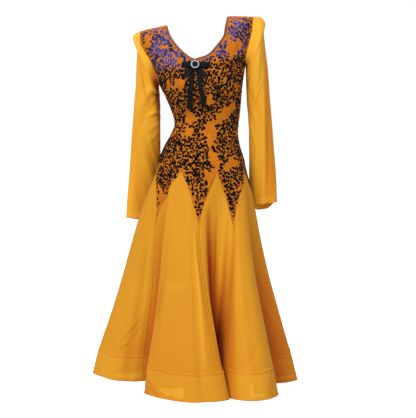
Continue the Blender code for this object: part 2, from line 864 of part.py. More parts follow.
def make_loop(name, sign, length):
    """A flat ribbon loop beside the knot, seen edge on from above as a long drop."""
    point, normal, across, upward = bow_frame()
    steps = 12
    rows = []
    for step in range(steps + 1):
        angle = math.pi * (0.03 + 1.94 * step / steps)
        reach = LOOP_NEAR + (length - LOOP_NEAR) * (1 - math.cos(angle)) / 2
        belly = LOOP_BELLY * math.sin(angle)
        swell = 1 + 0.14 * math.sin(math.pi * (reach - LOOP_NEAR) / (length - LOOP_NEAR))
        middle = point + across * (sign * reach) + normal * (LOOP_OFF - RIBBON_WALL / 2 + belly)
        middle -= normal * 0.0011 * reach * reach
        outward = across * (-sign * math.cos(angle) * 0.35) + normal * math.sin(angle)
        outward.normalize()
        half = upward * (LOOP_HEIGHT / 2 * swell)
        rows.append([(middle + half, outward), (middle, outward), (middle - half, outward)])
    return sewn_panel(name, panel_rows(rows), quads_between(rows), RIBBON_WALL, "ribbon")


def turned(name, profile, colour, wave=0.0):
    """A round solid on the bow's axis from radius and distance off the bodice, with a scalloped rim if waved."""
    point, normal, across, upward = bow_frame()
    sides = 48 if wave else 24
    points = []
    for radius, off in profile:
        for side in range(sides):
            angle = 2 * math.pi * side / sides
            grown = radius + wave * (math.cos(STONES * angle)) * (radius > RIM_INNER + 2)
            spoke = across * math.cos(angle) + upward * math.sin(angle)
            points.append(point + spoke * grown + normal * off)
    faces = []
    rings = len(profile)
    closed = profile[0][0] > RIM_INNER - 0.5 and wave > 0
    for ring in range(rings if closed else rings - 1):
        after_ring = (ring + 1) % rings
        for side in range(sides):
            after = (side + 1) % sides
            here = ring * sides
            there = after_ring * sides
            faces.append((here + side, here + after, there + after, there + side))
    if not closed:
        faces.append(tuple(range(sides)))
        faces.append(tuple(reversed(range((rings - 1) * sides, rings * sides))))
    return add_solid(name, points, faces, colour)


def make_bow():
    ribbon("bow_tail_left", TAIL_LEFT, RIBBON_WIDTH)
    ribbon("bow_tail_right", TAIL_RIGHT, RIBBON_WIDTH)
    ribbon("bow_wing_left", WING_LEFT, WING_WIDTH)
    ribbon("bow_wing_right", WING_RIGHT, WING_WIDTH)
    make_loop("bow_loop_left", -1, LOOP_LENGTHS[0])
    make_loop("bow_loop_right", 1, LOOP_LENGTHS[1])
    turned("bow_knot", ((KNOT_RADIUS, KNOT_FOOT), (KNOT_RADIUS, KNOT_TOP)), "ribbon")
    rim = (
        (RIM_INNER, RIM_FOOT),
        (RIM_RADIUS - 1, RIM_FOOT),
        (RIM_RADIUS, RIM_TOP - 1.6),
        (RIM_INNER + 3.2, RIM_TOP),
    )
    turned("brooch_rim", rim, "clear stone", 0.7)
    dome = ((CENTRE_RADIUS, RIM_FOOT), (CENTRE_RADIUS, 12.4), (5.2, 14.2), (2.4, CENTRE_TOP))
    turned("brooch_centre", dome, "black stone")


COLLECTION = "ballroom dance dress"


def clear_scene():
    for item in list(bpy.data.objects):
        bpy.data.objects.remove(item, do_unlink=True)
    made = bpy.data.collections.new(COLLECTION)
    bpy.context.scene.collection.children.link(made)


def main():
    clear_scene()
    make_bodice()
    make_skirt()
    make_sleeves()
    make_binding()
    make_bow()


main()
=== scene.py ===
# Looks of the ballroom dance dress: thin cloth shells on the solids' forms, the flocked leaf pattern, sewing,
# the ribbon bow and its brooch. Sizes are in millimetres until a mesh is made. The front faces -Y, up is +Z.
import itertools
import math
import random
from collections import namedtuple

import bmesh
import bpy
import numpy as np
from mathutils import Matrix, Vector


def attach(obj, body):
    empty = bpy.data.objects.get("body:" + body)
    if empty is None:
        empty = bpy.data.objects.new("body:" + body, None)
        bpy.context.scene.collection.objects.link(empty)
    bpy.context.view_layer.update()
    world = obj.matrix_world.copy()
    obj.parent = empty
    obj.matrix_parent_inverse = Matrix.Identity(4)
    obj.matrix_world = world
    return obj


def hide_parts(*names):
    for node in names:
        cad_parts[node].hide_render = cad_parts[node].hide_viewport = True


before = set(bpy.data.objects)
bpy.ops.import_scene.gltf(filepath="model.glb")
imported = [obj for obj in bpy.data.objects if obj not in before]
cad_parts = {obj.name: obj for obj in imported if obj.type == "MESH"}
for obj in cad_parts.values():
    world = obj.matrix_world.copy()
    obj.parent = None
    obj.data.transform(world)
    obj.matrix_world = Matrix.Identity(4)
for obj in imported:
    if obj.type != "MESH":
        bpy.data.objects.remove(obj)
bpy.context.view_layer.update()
MM = 0.001

# Form, as in the part's source

# Sections. Columns: level, the section's left, right, front and back, and how far the folds have formed
SECTIONS = (
    (30, -216, 216, -70, 74, 0.0),
    (-40, -212, 206, -80, 80, 0.0),
    (-82, -205, 188, -92, 84, 0.0),
    (-115, -184, 170, -102, 86, 0.0),
    (-150, -160, 156, -109, 86, 0.0),
    (-180, -140, 150, -113, 84, 0.0),
    (-214, -125, 145, -114, 80, 0.0),
    (-257, -104, 141, -106, 74, 0.0),
    (-297, -87, 138, -95, 71, 0.0),
    (-340, -76, 133, -88, 72, 0.0),
    (-375, -88, 131, -90, 82, 0.0),
    (-414, -110, 138, -98, 98, 0.0),
    (-454, -127, 151, -106, 114, 0.0),
    (-500, -137, 161, -112, 124, 0.0),
    (-549, -158, 174, -120, 132, 0.08),
    (-632, -189, 190, -141, 148, 0.22),
    (-732, -219, 208, -172, 172, 0.38),
    (-852, -252, 235, -210, 206, 0.57),
    (-973, -289, 268, -248, 238, 0.74),
    (-1103, -333, 304, -290, 270, 0.91),
    (-1188, -354, 325, -306, 284, 1.0),
)
SECTION_POWER = 0.86
# Columns: x, z, swell and spread
BUST = ((-54, -224, 15, 44), (76, -206, 15, 44))

# Folds. Columns: heading, x and y of the hem there, and how late down the skirt the fold forms
FOLDS = (
    (-108, -270, 132, 1.0),
    (-96, -356, 84, 1.0),
    (-85, -334, 22, 1.0),
    (-72, -276, -40, 1.0),
    (-60, -218, -58, 1.0),
    (-51, -166, -52, 1.0),
    (-44, -138, -98, 0.8),
    (-38, -168, -191, 0.8),
    (-30, -140, -242, 1.0),
    (-22, -84, -290, 1.0),
    (-12, -14, -318, 1.0),
    (-5, 44, -310, 1.6),
    (1, 97, -284, 2.1),
    (6, 66, -262, 2.1),
    (11, 42, -224, 1.9),
    (17, 36, -184, 1.7),
    (24, 50, -172, 1.7),
    (31, 62, -204, 1.8),
    (38, 78, -246, 1.8),
    (43, 124, -284, 1.4),
    (49, 180, -300, 1.0),
    (55, 230, -268, 1.0),
    (60, 254, -214, 1.0),
    (68, 232, -122, 1.0),
    (75, 252, -84, 1.0),
    (84, 300, -66, 1.0),
    (92, 330, -24, 1.0),
    (101, 300, 54, 1.0),
    (112, 262, 128, 1.0),
    (128, 232, 240, 1.0),
    (145, 152, 296, 1.0),
    (163, 62, 268, 1.0),
    (180, -8, 212, 1.0),
    (197, -66, 266, 1.0),
    (216, -152, 298, 1.0),
    (237, -240, 238, 1.0),
)

# Godets, with the place of the tip and the bend of both edges
Godet = namedtuple("Godet", "name heading z left_bend right_bend")
GODETS = (
    Godet("side_left", -85, -488, 1.4, 2.8),
    Godet("front_left", -22, -492, 1.85, 1.55),
    Godet("front_right", 16, -496, 1.8, 1.2),
    Godet("side_right", 68, -502, 2.0, 1.4),
    Godet("back_right", 150, -500, 1.5, 1.5),
    Godet("back_left", 210, -494, 1.5, 1.5),
)

# Long points between the godets, as heading and level. The last is the first again, a turn on
POINTS = ((-120, -680), (-54, -676), (0, -674), (38, -692), (115, -684), (180, -680), (240, -680))
POINT_END = 0.97
BAND_TOP_Z = -1103.0
HEM_Z = -1188.0

# Edges of the bodice, as x and level
NECK_CORNERS = ((-106, -22), (101, 8))
SHOULDER_TIPS = ((-186, -41), (178, 6))
SHOULDER_ROUND = 46.0
SHOULDER_SEAM_Y = 2.0
FRONT_NECK_LEFT = ((-106, -22), (-89, -67), (-59, -106), (-24, -135), (-8, -140))
FRONT_NECK_RIGHT = ((101, 8), (93, -33), (87, -63), (63, -96), (36, -124), (-8, -140))
BACK_NECK_LEFT = ((-106, -22), (-97, -72), (-70, -124), (-32, -154), (0, -161))
BACK_NECK_RIGHT = ((101, 8), (98, -30), (92, -70), (70, -116), (38, -149), (0, -161))
FRONT_ARM_LEFT = (
    (-186, -41), (-183, -82), (-170, -107), (-150, -140), (-140, -165), (-129, -192), (-125, -214)
)
FRONT_ARM_RIGHT = ((178, 6), (174, -37), (168, -65), (159, -101), (154, -127), (156, -150))
BACK_ARM_LEFT = ((-186, -41), (-178, -80), (-163, -115), (-148, -150), (-134, -184), (-125, -214))
BACK_ARM_RIGHT = ((178, 6), (171, -35), (161, -70), (152, -105), (150, -130), (156, -150))
STRAP_SHARES = (0.0, 0.04, 0.15, 0.32, 0.54, 0.77, 1.0)
STRAP_ARM_SHARE = 0.88

# Rings down each sleeve. Columns: x, y and z of its outer side, then of its inner side, and half its depth
RINGS_LEFT = (
    (-209, 0, -59, -128, -8, -227, 62),
    (-196, 2, -100, -126, -6, -245, 60),
    (-199, 4, -140, -125, -2, -266, 56),
    (-203, 8, -215, -124, 4, -305, 52),
    (-211, 16, -292, -124, 18, -356, 48),
    (-219, 32, -378, -125, 44, -412, 43),
    (-225, 52, -452, -127, 82, -474, 38),
    (-231, 70, -526, -128, 118, -536, 34),
    (-238, 84, -602, -128, 148, -604, 31),
    (-242, 95, -660, -130, 168, -672, 30),
)
RINGS_RIGHT = (
    (204, 0, 3, 157, -4, -158, 58),
    (218, 0, -16, 157, -4, -172, 60),
    (214, 0, -42, 157, -2, -190, 59),
    (219, 2, -92, 158, 0, -216, 55),
    (229, 6, -165, 159, 6, -256, 51),
    (236, 12, -252, 164, 14, -308, 47),
    (243, 20, -325, 168, 26, -366, 43),
    (251, 34, -415, 170, 46, -440, 40),
    (260, 50, -516, 172, 74, -530, 36),
    (263, 62, -604, 178, 98, -618, 34),
)

# Creases, listed one by one. Columns: level and heading of the start, then of the end, width and height,
# which is negative in a trough
CREASES = (
    # Front left godet
    (-560, -14, -1180, -18, 16, -3.5),
    (-600, -26, -1120, -30, 14, 3.0),
    (-640, -4, -1190, -3, 9, 3.5),
    (-760, -9, -1190, -8, 10, -3.0),
    (-930, -24, -1190, -23, 12, -2.5),
    (-660, -3, -1110, -6, 7, 3.2),
    (-676, -9, -1080, -11, 8, -3.4),
    # Centre pleat
    (-600, 8, -1100, 9, 8, -3.0),
    (-590, 15, -1000, 17, 9, 3.5),
    (-640, 24, -1060, 25, 10, -3.0),
    # Front right crest
    (-700, 43, -1190, 44, 10, 2.5),
    (-720, 52, -1190, 50, 12, -3.0),
    (-940, 49, -1070, 57, 7, 2.0),
    (-1010, 55, -1092, 47, 6, -1.8),
    # Left flap
    (-620, -62, -1190, -64, 18, -4.0),
    (-600, -80, -1190, -82, 20, -3.5),
    (-940, -57, -1085, -78, 6, 2.6),
    (-980, -55, -1095, -70, 5, -2.2),
    (-1010, -88, -1080, -73, 5, 1.8),
    (-1040, -60, -1098, -82, 5, 2.0),
    (-1105, -72, -1120, -90, 4, 1.6),
    # Right flap
    (-640, 84, -1190, 86, 18, -3.5),
    (-900, 74, -1060, 90, 6, 2.4),
    (-980, 78, -1095, 90, 6, -2.4),
    (-1060, 80, -1100, 97, 5, 2.4),
    # Back
    (-600, 128, -1190, 126, 16, -4.0),
    (-560, 150, -1190, 152, 18, 3.5),
    (-620, 168, -1190, 170, 12, -3.5),
    (-560, 214, -1190, 210, 18, -3.5),
    (-640, 192, -1190, 190, 12, 3.0),
    (-620, 232, -1190, 228, 18, -4.0),
    (-640, 254, -1190, 250, 16, 3.5),
    (-940, 140, -1090, 158, 6, 2.2),
    (-960, 224, -1095, 206, 6, 2.2),
    # Bodice
    (-330, -84, -352, -30, 6, 1.6),
    (-352, -88, -372, -44, 6, -1.4),
    (-345, 86, -362, 42, 6, 1.5),
    (-318, 88, -332, 52, 6, -1.2),
    (-206, -84, -236, -46, 8, -1.8),
    (-160, 82, -190, 48, 8, -1.6),
    (-356, 110, -366, 168, 7, 1.8),
    (-338, 200, -352, 256, 7, 1.8),
    (-372, 140, -384, 220, 8, -1.6),
)
CREASE_LIMIT_Z = -130

# Painted light and shade on the skirt, in the same columns: a negative tone is painted shade, a positive one
# painted light
SKIRT_PAINTED_LIGHT_AND_SHADE = (
    (-590, 7, -1010, 13, 12, -0.40),
    (-560, 22, -1010, 25, 22, 0.38),
    (-620, 33, -1000, 34, 12, 0.16),
    (-600, -78, -1190, -80, 60, 0.06),
    (-600, 50, -1190, 52, 44, 0.05),
    (-640, -57, -1190, -56, 28, 0.24),
    (-600, 80, -1190, 84, 44, -0.15),
    (-650, -4, -1150, -7, 6, 0.12),
    (-830, -31, -970, -33, 9, -0.09),
    (-845, -14, -850, -30, 12, 0.05),
    (-620, 150, -1000, 152, 16, 0.10),
    (-620, 208, -1000, 206, 16, 0.10),
)

# Creases of the sleeves. Columns: ring, place round the sleeve, slant, length, width and height
CREASES_LEFT = (
    (4.3, 0.37, -0.20, 0.70, 0.020, 3.6),
    (4.6, 0.34, -0.20, 0.60, 0.020, -2.6),
    (5.0, 0.37, -0.20, 0.60, 0.018, 3.0),
    (5.6, 0.35, -0.18, 0.50, 0.016, 2.2),
    (7.4, 0.37, -0.15, 0.50, 0.020, 2.0),
    (2.6, 0.42, -0.10, 1.3, 0.030, -4.0),
    (3.3, 0.30, -0.09, 1.6, 0.035, 5.0),
    (3.9, 0.36, -0.10, 1.2, 0.022, -3.0),
    (5.0, 0.26, -0.10, 1.4, 0.026, 3.0),
    (5.4, 0.19, -0.09, 1.5, 0.05, -4.0),
    (6.3, 0.30, 0.08, 1.0, 0.022, 2.4),
    (7.2, 0.24, 0.06, 1.6, 0.045, 4.0),
    (8.0, 0.36, 0.05, 1.1, 0.025, -2.6),
    (8.8, 0.17, 0.05, 1.2, 0.05, -3.0),
    (6.2, 0.72, 0.05, 1.8, 0.06, 4.0),
    (4.0, 0.80, -0.06, 1.4, 0.04, -3.0),
    (8.2, 0.68, -0.05, 1.4, 0.04, 3.0),
)
CREASES_RIGHT = (
    (5.6, 0.30, 0.20, 0.60, 0.020, 2.6),
    (6.1, 0.34, 0.18, 0.50, 0.018, -2.2),
    (1.6, 0.18, 0.05, 1.0, 0.03, 3.0),
    (3.2, 0.38, 0.08, 1.3, 0.03, -3.5),
    (4.2, 0.24, 0.06, 1.6, 0.045, 4.5),
    (5.2, 0.33, 0.09, 1.2, 0.022, -2.6),
    (6.2, 0.28, -0.08, 1.4, 0.035, -3.6),
    (7.0, 0.38, -0.08, 1.0, 0.022, 2.4),
    (8.0, 0.20, 0.01, 2.8, 0.030, 4.5),
    (8.2, 0.145, 0.01, 2.8, 0.034, -6.0),
    (8.6, 0.31, 0.03, 1.2, 0.04, 2.4),
    (6.6, 0.74, -0.05, 1.8, 0.06, 4.0),
    (4.4, 0.82, 0.06, 1.4, 0.04, -3.0),
)

# Painted shade and light on the sleeves, in the same columns, with the change of tone last. A negative change
# is deeper painted shade, a positive one painted light.
SHADES_LEFT = (
    (0.5, 0.42, 0.03, 1.2, 0.085, -0.50),
    (2.8, 0.46, 0.0, 2.0, 0.072, -0.46),
    (3.0, 0.19, 0.045, 0.75, 0.020, -0.16),
    (3.8, 0.25, 0.10, 0.40, 0.028, -0.15),
    (6.0, 0.48, 0.0, 2.6, 0.045, -0.20),
    (0.4, 0.20, 0.0, 1.2, 0.200, 0.08),
    (5.5, 0.78, 0.0, 3.5, 0.160, -0.12),
)
SHADES_RIGHT = (
    (7.0, 0.085, 0.008, 6.0, 0.075, -0.15),
    (5.0, 0.49, 0.0, 4.0, 0.040, -0.20),
    (2.0, 0.22, 0.0, 2.0, 0.160, 0.06),
    (5.5, 0.78, 0.0, 3.5, 0.160, -0.12),
)

# Sleeves. The last three are the place, width and drop of the lowest part of the cuff.
Sleeve = namedtuple("Sleeve", "name front back rings creases shades drop_place drop_width drop")
SLEEVES = (
    Sleeve(
        "sleeve_left",
        FRONT_ARM_LEFT,
        BACK_ARM_LEFT,
        RINGS_LEFT,
        CREASES_LEFT,
        SHADES_LEFT,
        drop_place=0.70,
        drop_width=0.16,
        drop=6.0,
    ),
    Sleeve(
        "sleeve_right",
        FRONT_ARM_RIGHT,
        BACK_ARM_RIGHT,
        RINGS_RIGHT,
        CREASES_RIGHT,
        SHADES_RIGHT,
        drop_place=0.69,
        drop_width=0.125,
        drop=20.0,
    ),
)

# Patches of tone on the hem bands, where layers turn back inside. Columns: change, and corners as heading and
# level
BAND_PATCHES = (
    (-0.07, ((-39, -1106), (-25.5, -1183), (-39, -1188))),
    (0.10, ((-28, -1160), (-16, -1146), (-16, -1179), (-24, -1176))),
    (0.10, ((-73, -1170), (-54, -1152), (-54, -1176), (-66, -1180))),
    (0.10, ((47.5, -1141), (48.4, -1141), (48.4, -1169), (52.5, -1170), (52.5, -1177), (47.5, -1177))),
    (-0.07, ((57, -1103), (61, -1103), (61, -1188), (53.5, -1188), (54, -1150))),
    (0.09, ((76, -1168), (90, -1168), (90, -1177), (76, -1177))),
    (0.10, ((150, -1150), (166, -1162), (166, -1178), (156, -1176))),
    (-0.07, ((196, -1104), (205, -1104), (210, -1188), (198, -1188))),
    (0.09, ((226, -1158), (238, -1148), (238, -1176), (229, -1178))),
)

# Bare cloth between the sprays. Columns: x and z of the middle, half width, half height, and slant in degrees
BARE_FRONT = (
    (-159, -88, 14, 9, 10),
    (114, -102, 23, 16, 35),
    (-53, -217, 10, 22, -10),
    (39, -262, 11, 24, 0),
    (-21, -322, 19, 16, 20),
    (-32, -366, 10, 17, 0),
    (90, -310, 46, 14, 47),
    (40, -378, 16, 42, 0),
    (50, -452, 15, 32, 25),
    (36, -514, 13, 34, 20),
    (112, -468, 24, 14, 10),
    (-117, -588, 12, 15, 0),
)
BARE_BACK = (
    (-112, -104, 20, 15, -30),
    (70, -176, 14, 24, 20),
    (-40, -232, 20, 16, 10),
    (8, -300, 12, 34, -10),
    (-64, -352, 30, 14, 35),
    (44, -392, 18, 36, 0),
    (-18, -446, 16, 30, -20),
    (92, -478, 22, 14, 0),
    (-96, -540, 16, 24, 10),
    (14, -566, 12, 26, 0),
)

# Panels of the bodice, each from the side with the armhole on the left to the other
Panel = namedtuple("Panel", "name side godets points arms necks bare")
LEFT_AGAIN = GODETS[0]._replace(heading=GODETS[0].heading + 360)
PANELS = (
    Panel(
        "front",
        1,
        GODETS[:4],
        POINTS[1:4],
        (FRONT_ARM_LEFT, FRONT_ARM_RIGHT),
        (FRONT_NECK_LEFT, FRONT_NECK_RIGHT),
        BARE_FRONT,
    ),
    Panel(
        "back",
        -1,
        (LEFT_AGAIN, *GODETS[:2:-1]),
        POINTS[6:3:-1],
        (BACK_ARM_LEFT, BACK_ARM_RIGHT),
        (BACK_NECK_LEFT, BACK_NECK_RIGHT),
        BARE_BACK,
    ),
)

# Cloth
SHELL = 0.7
BAND_SHELL = 1.8
BAND_PROUD = 0.9
BAND_OVERLAP = 7.0
GRID = 5.0
BAND_GRID = 2.6
CUFF_PROUD = 0.6
CUFF_REACH = 1.6
BAND_LIGHTER = 0.05
# Painted shade under the seam of the hem band, as a drop in tone
SEAM_SHADE = 0.14
BAND_ROWS = 34
STRAP_ROWS = 34
STRAP_COLUMNS = 25
CHEST_ROWS = 9
WAIST_ROWS = 64
POINT_ROWS = 46
SLEEVE_SIDES = 96
SLEEVE_POWER = 0.9
# Plain tone of the sleeves, lifted above the cloth's 0.5 as painted light
SLEEVE_LIT_TONE = 0.56
PLAIN_TONE = 0.5
BINDING_WALL = 0.8
WELD_GAP = 0.02
STITCH_PITCH = 3.2
STITCH_LENGTH = 2.2
STITCH_RADIUS = 0.32
TUBE_SIDES = 6

# Bow and brooch
BOW_X = -8.0
BOW_Z = -155.5
RIBBON_WIDTH = 15.0
RIBBON_WALL = 0.9
STRIP_ROWS = 40
STRIP_COLUMNS = 11

# Lines of the tails and wings, as x, level and distance off the bodice
TAIL_LEFT = ((-15.4, -163.9, 2.9), (-18.5, -190, 4.5), (-21.5, -222, 5.4), (-24, -258, 6.4), (-25, -293, 8.4))
TAIL_RIGHT = ((0.4, -163.5, 2.9), (4.5, -190, 4.9), (9.5, -222, 6.0), (15.5, -256, 7.0), (20, -289, 8.8))
WING_LEFT = ((-20.0, -169.5, 5.0), (-27, -176, 6.8), (-36, -186, 7.0), (-44, -195, 5.4))
WING_RIGHT = ((4.5, -169.5, 5.0), (10.5, -175, 6.8), (18.5, -183, 7.0), (27, -192, 5.4))
WING_WIDTH = 16.0

# Columns: node, line, width, and how far the end's two corners are cut back
STRIPS = (
    ("bow_tail_left", TAIL_LEFT, RIBBON_WIDTH, (4.0, 0.0)),
    ("bow_tail_right", TAIL_RIGHT, RIBBON_WIDTH, (0.0, 9.0)),
    ("bow_wing_left", WING_LEFT, WING_WIDTH, (3.0, 0.0)),
    ("bow_wing_right", WING_RIGHT, WING_WIDTH, (0.0, 3.0)),
)

# Columns: node, side and length
LOOPS = (("bow_loop_left", -1, 44.0), ("bow_loop_right", 1, 49.0))
LOOP_ROWS = 120
LOOP_COLUMNS = 15
LOOP_NEAR = 9.4
LOOP_HEIGHT = 14.5
LOOP_BELLY = 4.6
LOOP_OFF = 7.4
LOOP_RIB = 0.55
LOOP_RIB_STEP = 6.3
STONES = 12
STONE_RADIUS = 2.6
STONE_RING = 11.3
STONE_FOOT = 10.4
STONE_SIDES = 8
CLAW_SIDES = 6
CLAW_REACH = 2.1

# Columns: radius as a share of the stone's, distance off its foot, and turn in sides
STONE_LEVELS = ((0.55, 2.9, 0.5), (0.86, 2.4, 0.0), (1.0, 1.5, 0.5), (0.5, 0.3, 0.0))

# Profiles, as radius and distance off the bodice
CLAW_LEVELS = ((0.7, 10.2), (0.7, 12.6), (0.35, 13.2))
KNOT = ((7.5, 0.8), (9.0, 2.2), (9.0, 8.2), (7.5, 9.6))
PLATE = ((14.0, 9.7), (14.4, 10.0), (14.4, 10.6), (13.6, 11.0), (9.4, 11.0))
DOME = ((6.9, 10.2), (7.2, 11.2), (7.0, 12.2), (6.2, 13.4), (4.8, 14.3), (3.0, 14.85), (1.0, 15.0))


def mix(one, other, share):
    return one + (other - one) * share


def closed_folds():
    rows = list(FOLDS)
    before = [(row[0] - 360, *row[1:]) for row in rows[-3:]]
    after = [(row[0] + 360, *row[1:]) for row in rows[:3]]
    return np.array(before + rows + after, float)


SECTION_CURVE = np.array(SECTIONS[::-1], float)
FOLD_CURVE = closed_folds()
FOLD_FIRST = float(FOLDS[0][0])


def curve(rows, at):
    """Every column after the first, on a smooth curve through the rows, at the places asked for."""
    at = np.asarray(at, float)
    places = rows[:, 0]
    index = np.clip(np.searchsorted(places, at) - 1, 0, len(places) - 2)
    before = np.maximum(index - 1, 0)
    after = np.minimum(index + 2, len(places) - 1)
    span = places[index + 1] - places[index]
    share = np.clip((at - places[index]) / span, 0, 1)[..., None]
    here = rows[index, 1:]
    there = rows[index + 1, 1:]
    start = (there - rows[before, 1:]) * (span / (places[index + 1] - places[before]))[..., None]
    end = (rows[after, 1:] - here) * (span / (places[after] - places[index]))[..., None]
    square = share * share
    cube = square * share
    return (
        (2 * cube - 3 * square + 1) * here
        + (cube - 2 * square + share) * start
        + (3 * square - 2 * cube) * there
        + (cube - square) * end
    )


def power(value, exponent):
    return np.sign(value) * np.abs(value) ** exponent


def section_xy(section, heading):
    left, right, front, back = (section[..., i] for i in range(4))
    angle = np.radians(heading)
    x = (left + right) / 2 + (right - left) / 2 * power(np.sin(angle), SECTION_POWER)
    y = (front + back) / 2 - (back - front) / 2 * power(np.cos(angle), SECTION_POWER)
    return x, y


def body(heading, z):
    """Outside of the dress at a heading round the body and a level, as in the solids."""
    heading, z = np.broadcast_arrays(np.asarray(heading, float), np.asarray(z, float))
    section = curve(SECTION_CURVE, z)
    x, y = section_xy(section, heading)
    fold = np.maximum(section[..., 4], 0)
    turned = (heading - FOLD_FIRST) % 360 + FOLD_FIRST
    folds = curve(FOLD_CURVE, turned)
    hem_x, hem_y = section_xy(SECTION_CURVE[0, 1:], heading)
    x = x + np.where(fold > 0, fold ** folds[..., 2], 0) * (folds[..., 0] - hem_x)
    y = y + fold * (folds[..., 1] - hem_y)
    front = np.clip(2 * np.cos(np.radians(heading)), 0, 1) * (z > -400)
    for at_x, at_z, swell, spread in BUST:
        y = y - front * swell * np.exp(-((x - at_x) ** 2 + (z - at_z) ** 2) / (2 * spread * spread))
    return np.stack([x, y, z + 0 * x], -1)


def unit(vectors):
    return vectors / np.maximum(np.linalg.norm(vectors, axis=-1, keepdims=True), 1e-9)


def heading_at(x, z, side):
    section = curve(SECTION_CURVE, z)
    left, right = section[..., 0], section[..., 1]
    share = np.clip((x - (left + right) / 2) / ((right - left) / 2), -1, 1)
    angle = np.degrees(np.arcsin(power(share, 1 / SECTION_POWER)))
    return angle if side > 0 else 180 - angle


def ridge(x):
    """Level of the shoulder line above this x."""
    levels = []
    for (neck_x, neck_z), (tip_x, tip_z) in zip(NECK_CORNERS, SHOULDER_TIPS):
        levels.append(neck_z + (x - neck_x) * (tip_z - neck_z) / (tip_x - neck_x))
    return np.where(x < 0, levels[0], levels[1])


def shoulder_point(x, lean):
    angle = np.radians(lean)
    z = ridge(x) - SHOULDER_ROUND * (1 - np.cos(angle))
    front = body(heading_at(x, z, 1), z)[..., 1]
    back = body(heading_at(x, z, -1), z)[..., 1]
    y = np.where(lean >= 0, front, back)
    y = SHOULDER_SEAM_Y + (y - SHOULDER_SEAM_Y) * np.abs(np.sin(angle))
    return np.stack([x, y, z], -1)


def body_place(heading, z):
    """Points and outward directions on the body."""
    across = body(heading + 0.4, z) - body(heading - 0.4, z)
    upward = body(heading, z + 1.0) - body(heading, z - 1.0)
    return body(heading, z), unit(np.cross(across, upward))


def chest_place(x, z, side):
    """Points and outward directions of the upper bodice at x and level, on the front (1) or the back (-1)."""
    x = np.asarray(x, float)
    z = np.asarray(z, float)
    drop = ridge(x) - z
    points, directions = body_place(heading_at(x, z, side), z)
    near = drop < SHOULDER_ROUND
    lean = side * np.degrees(np.arccos(np.clip(1 - drop / SHOULDER_ROUND, -1, 1)))
    lean = np.where(near, lean, side * 60.0)
    top = shoulder_point(x, lean)
    across = shoulder_point(x + 1.0, lean) - shoulder_point(x - 1.0, lean)
    forward = shoulder_point(x, lean + 1.0) - shoulder_point(x, lean - 1.0)
    top_directions = unit(np.cross(forward, across))
    choose = near[..., None]
    return np.where(choose, top, points), np.where(choose, top_directions, directions)


def hand_placed(rows, heading, z):
    """Sum of the heights, or painted light and shade, of rows laid along straight lines on the cloth."""
    total = np.zeros(np.shape(z))
    for start_z, start_heading, end_z, end_heading, width, height in rows:
        middle = curve(SECTION_CURVE, (start_z + end_z) / 2)
        per_degree = (middle[1] - middle[0]) / 2 * math.pi / 180 * 1.15
        apart = (heading - start_heading + 180) % 360 - 180
        along_x = apart * per_degree
        along_z = z - start_z
        line_x = (end_heading - start_heading) * per_degree
        line_z = end_z - start_z
        length = math.hypot(line_x, line_z)
        share = (along_x * line_x + along_z * line_z) / length**2
        off = (along_x * line_z - along_z * line_x) / length
        held = np.clip(share, 0, 1)
        ends = np.clip(1 - np.abs(2 * held - 1) ** 2.5, 0, 1)
        if end_z < -1185:
            ends = np.clip(held * 2.2, 0, 1)
        on_line = (share > 0) & (share < 1.05)
        total += height * ends * on_line * np.exp(-((off / width) ** 2))
    return total


def creased(points, directions, heading, z):
    """The points with the listed creases raised or sunk."""
    lift = hand_placed(CREASES, heading, z) * np.clip((CREASE_LIMIT_Z - z) / 30, 0, 1)
    return points + directions * lift[..., None]


def travelled(path):
    """Length of the path up to each of its points."""
    return np.concatenate([[0], np.cumsum(np.linalg.norm(np.diff(path, axis=0), axis=1))])


def along(line, share):
    """Places on a line of points by their share of its length."""
    line = np.array(line, float)
    lengths = travelled(line)
    return curve(np.column_stack([lengths / lengths[-1], line]), share)


# Depth of the folds, for the painted shade in them

DEPTH_HEADINGS = np.arange(-120.0, 242.0, 2.0)
DEPTH_LEVELS = np.linspace(HEM_Z, -480.0, 24)
DEPTH_START = 14.0
DEPTH_FULL = 100.0


def turn_of(first, second, third):
    return (second[0] - first[0]) * (third[1] - first[1]) - (second[1] - first[1]) * (third[0] - first[0])


def outermost_line(places):
    """Corners of the line drawn tight round a set of plan points."""
    order = sorted((float(x), float(y)) for x, y in places)
    corners = []
    for line_up in (order, order[::-1]):
        line = []
        for place in line_up:
            while len(line) > 1 and turn_of(line[-2], line[-1], place) <= 0:
                line.pop()
            line.append(place)
        corners += line[:-1]
    return np.array(corners)


def fold_depths():
    """How far the cloth lies behind its outermost line, by level and heading."""
    rows = []
    for level in DEPTH_LEVELS:
        plan = body(DEPTH_HEADINGS, level)[:, :2]
        corners = outermost_line(plan)
        sides = unit(np.roll(corners, -1, 0) - corners)
        away = np.stack([sides[:, 1], -sides[:, 0]], -1)
        apart = ((plan[:, None, :] - corners[None]) * away[None]).sum(-1)
        rows.append(-apart.max(1))
    return np.array(rows)


DEPTHS = fold_depths()


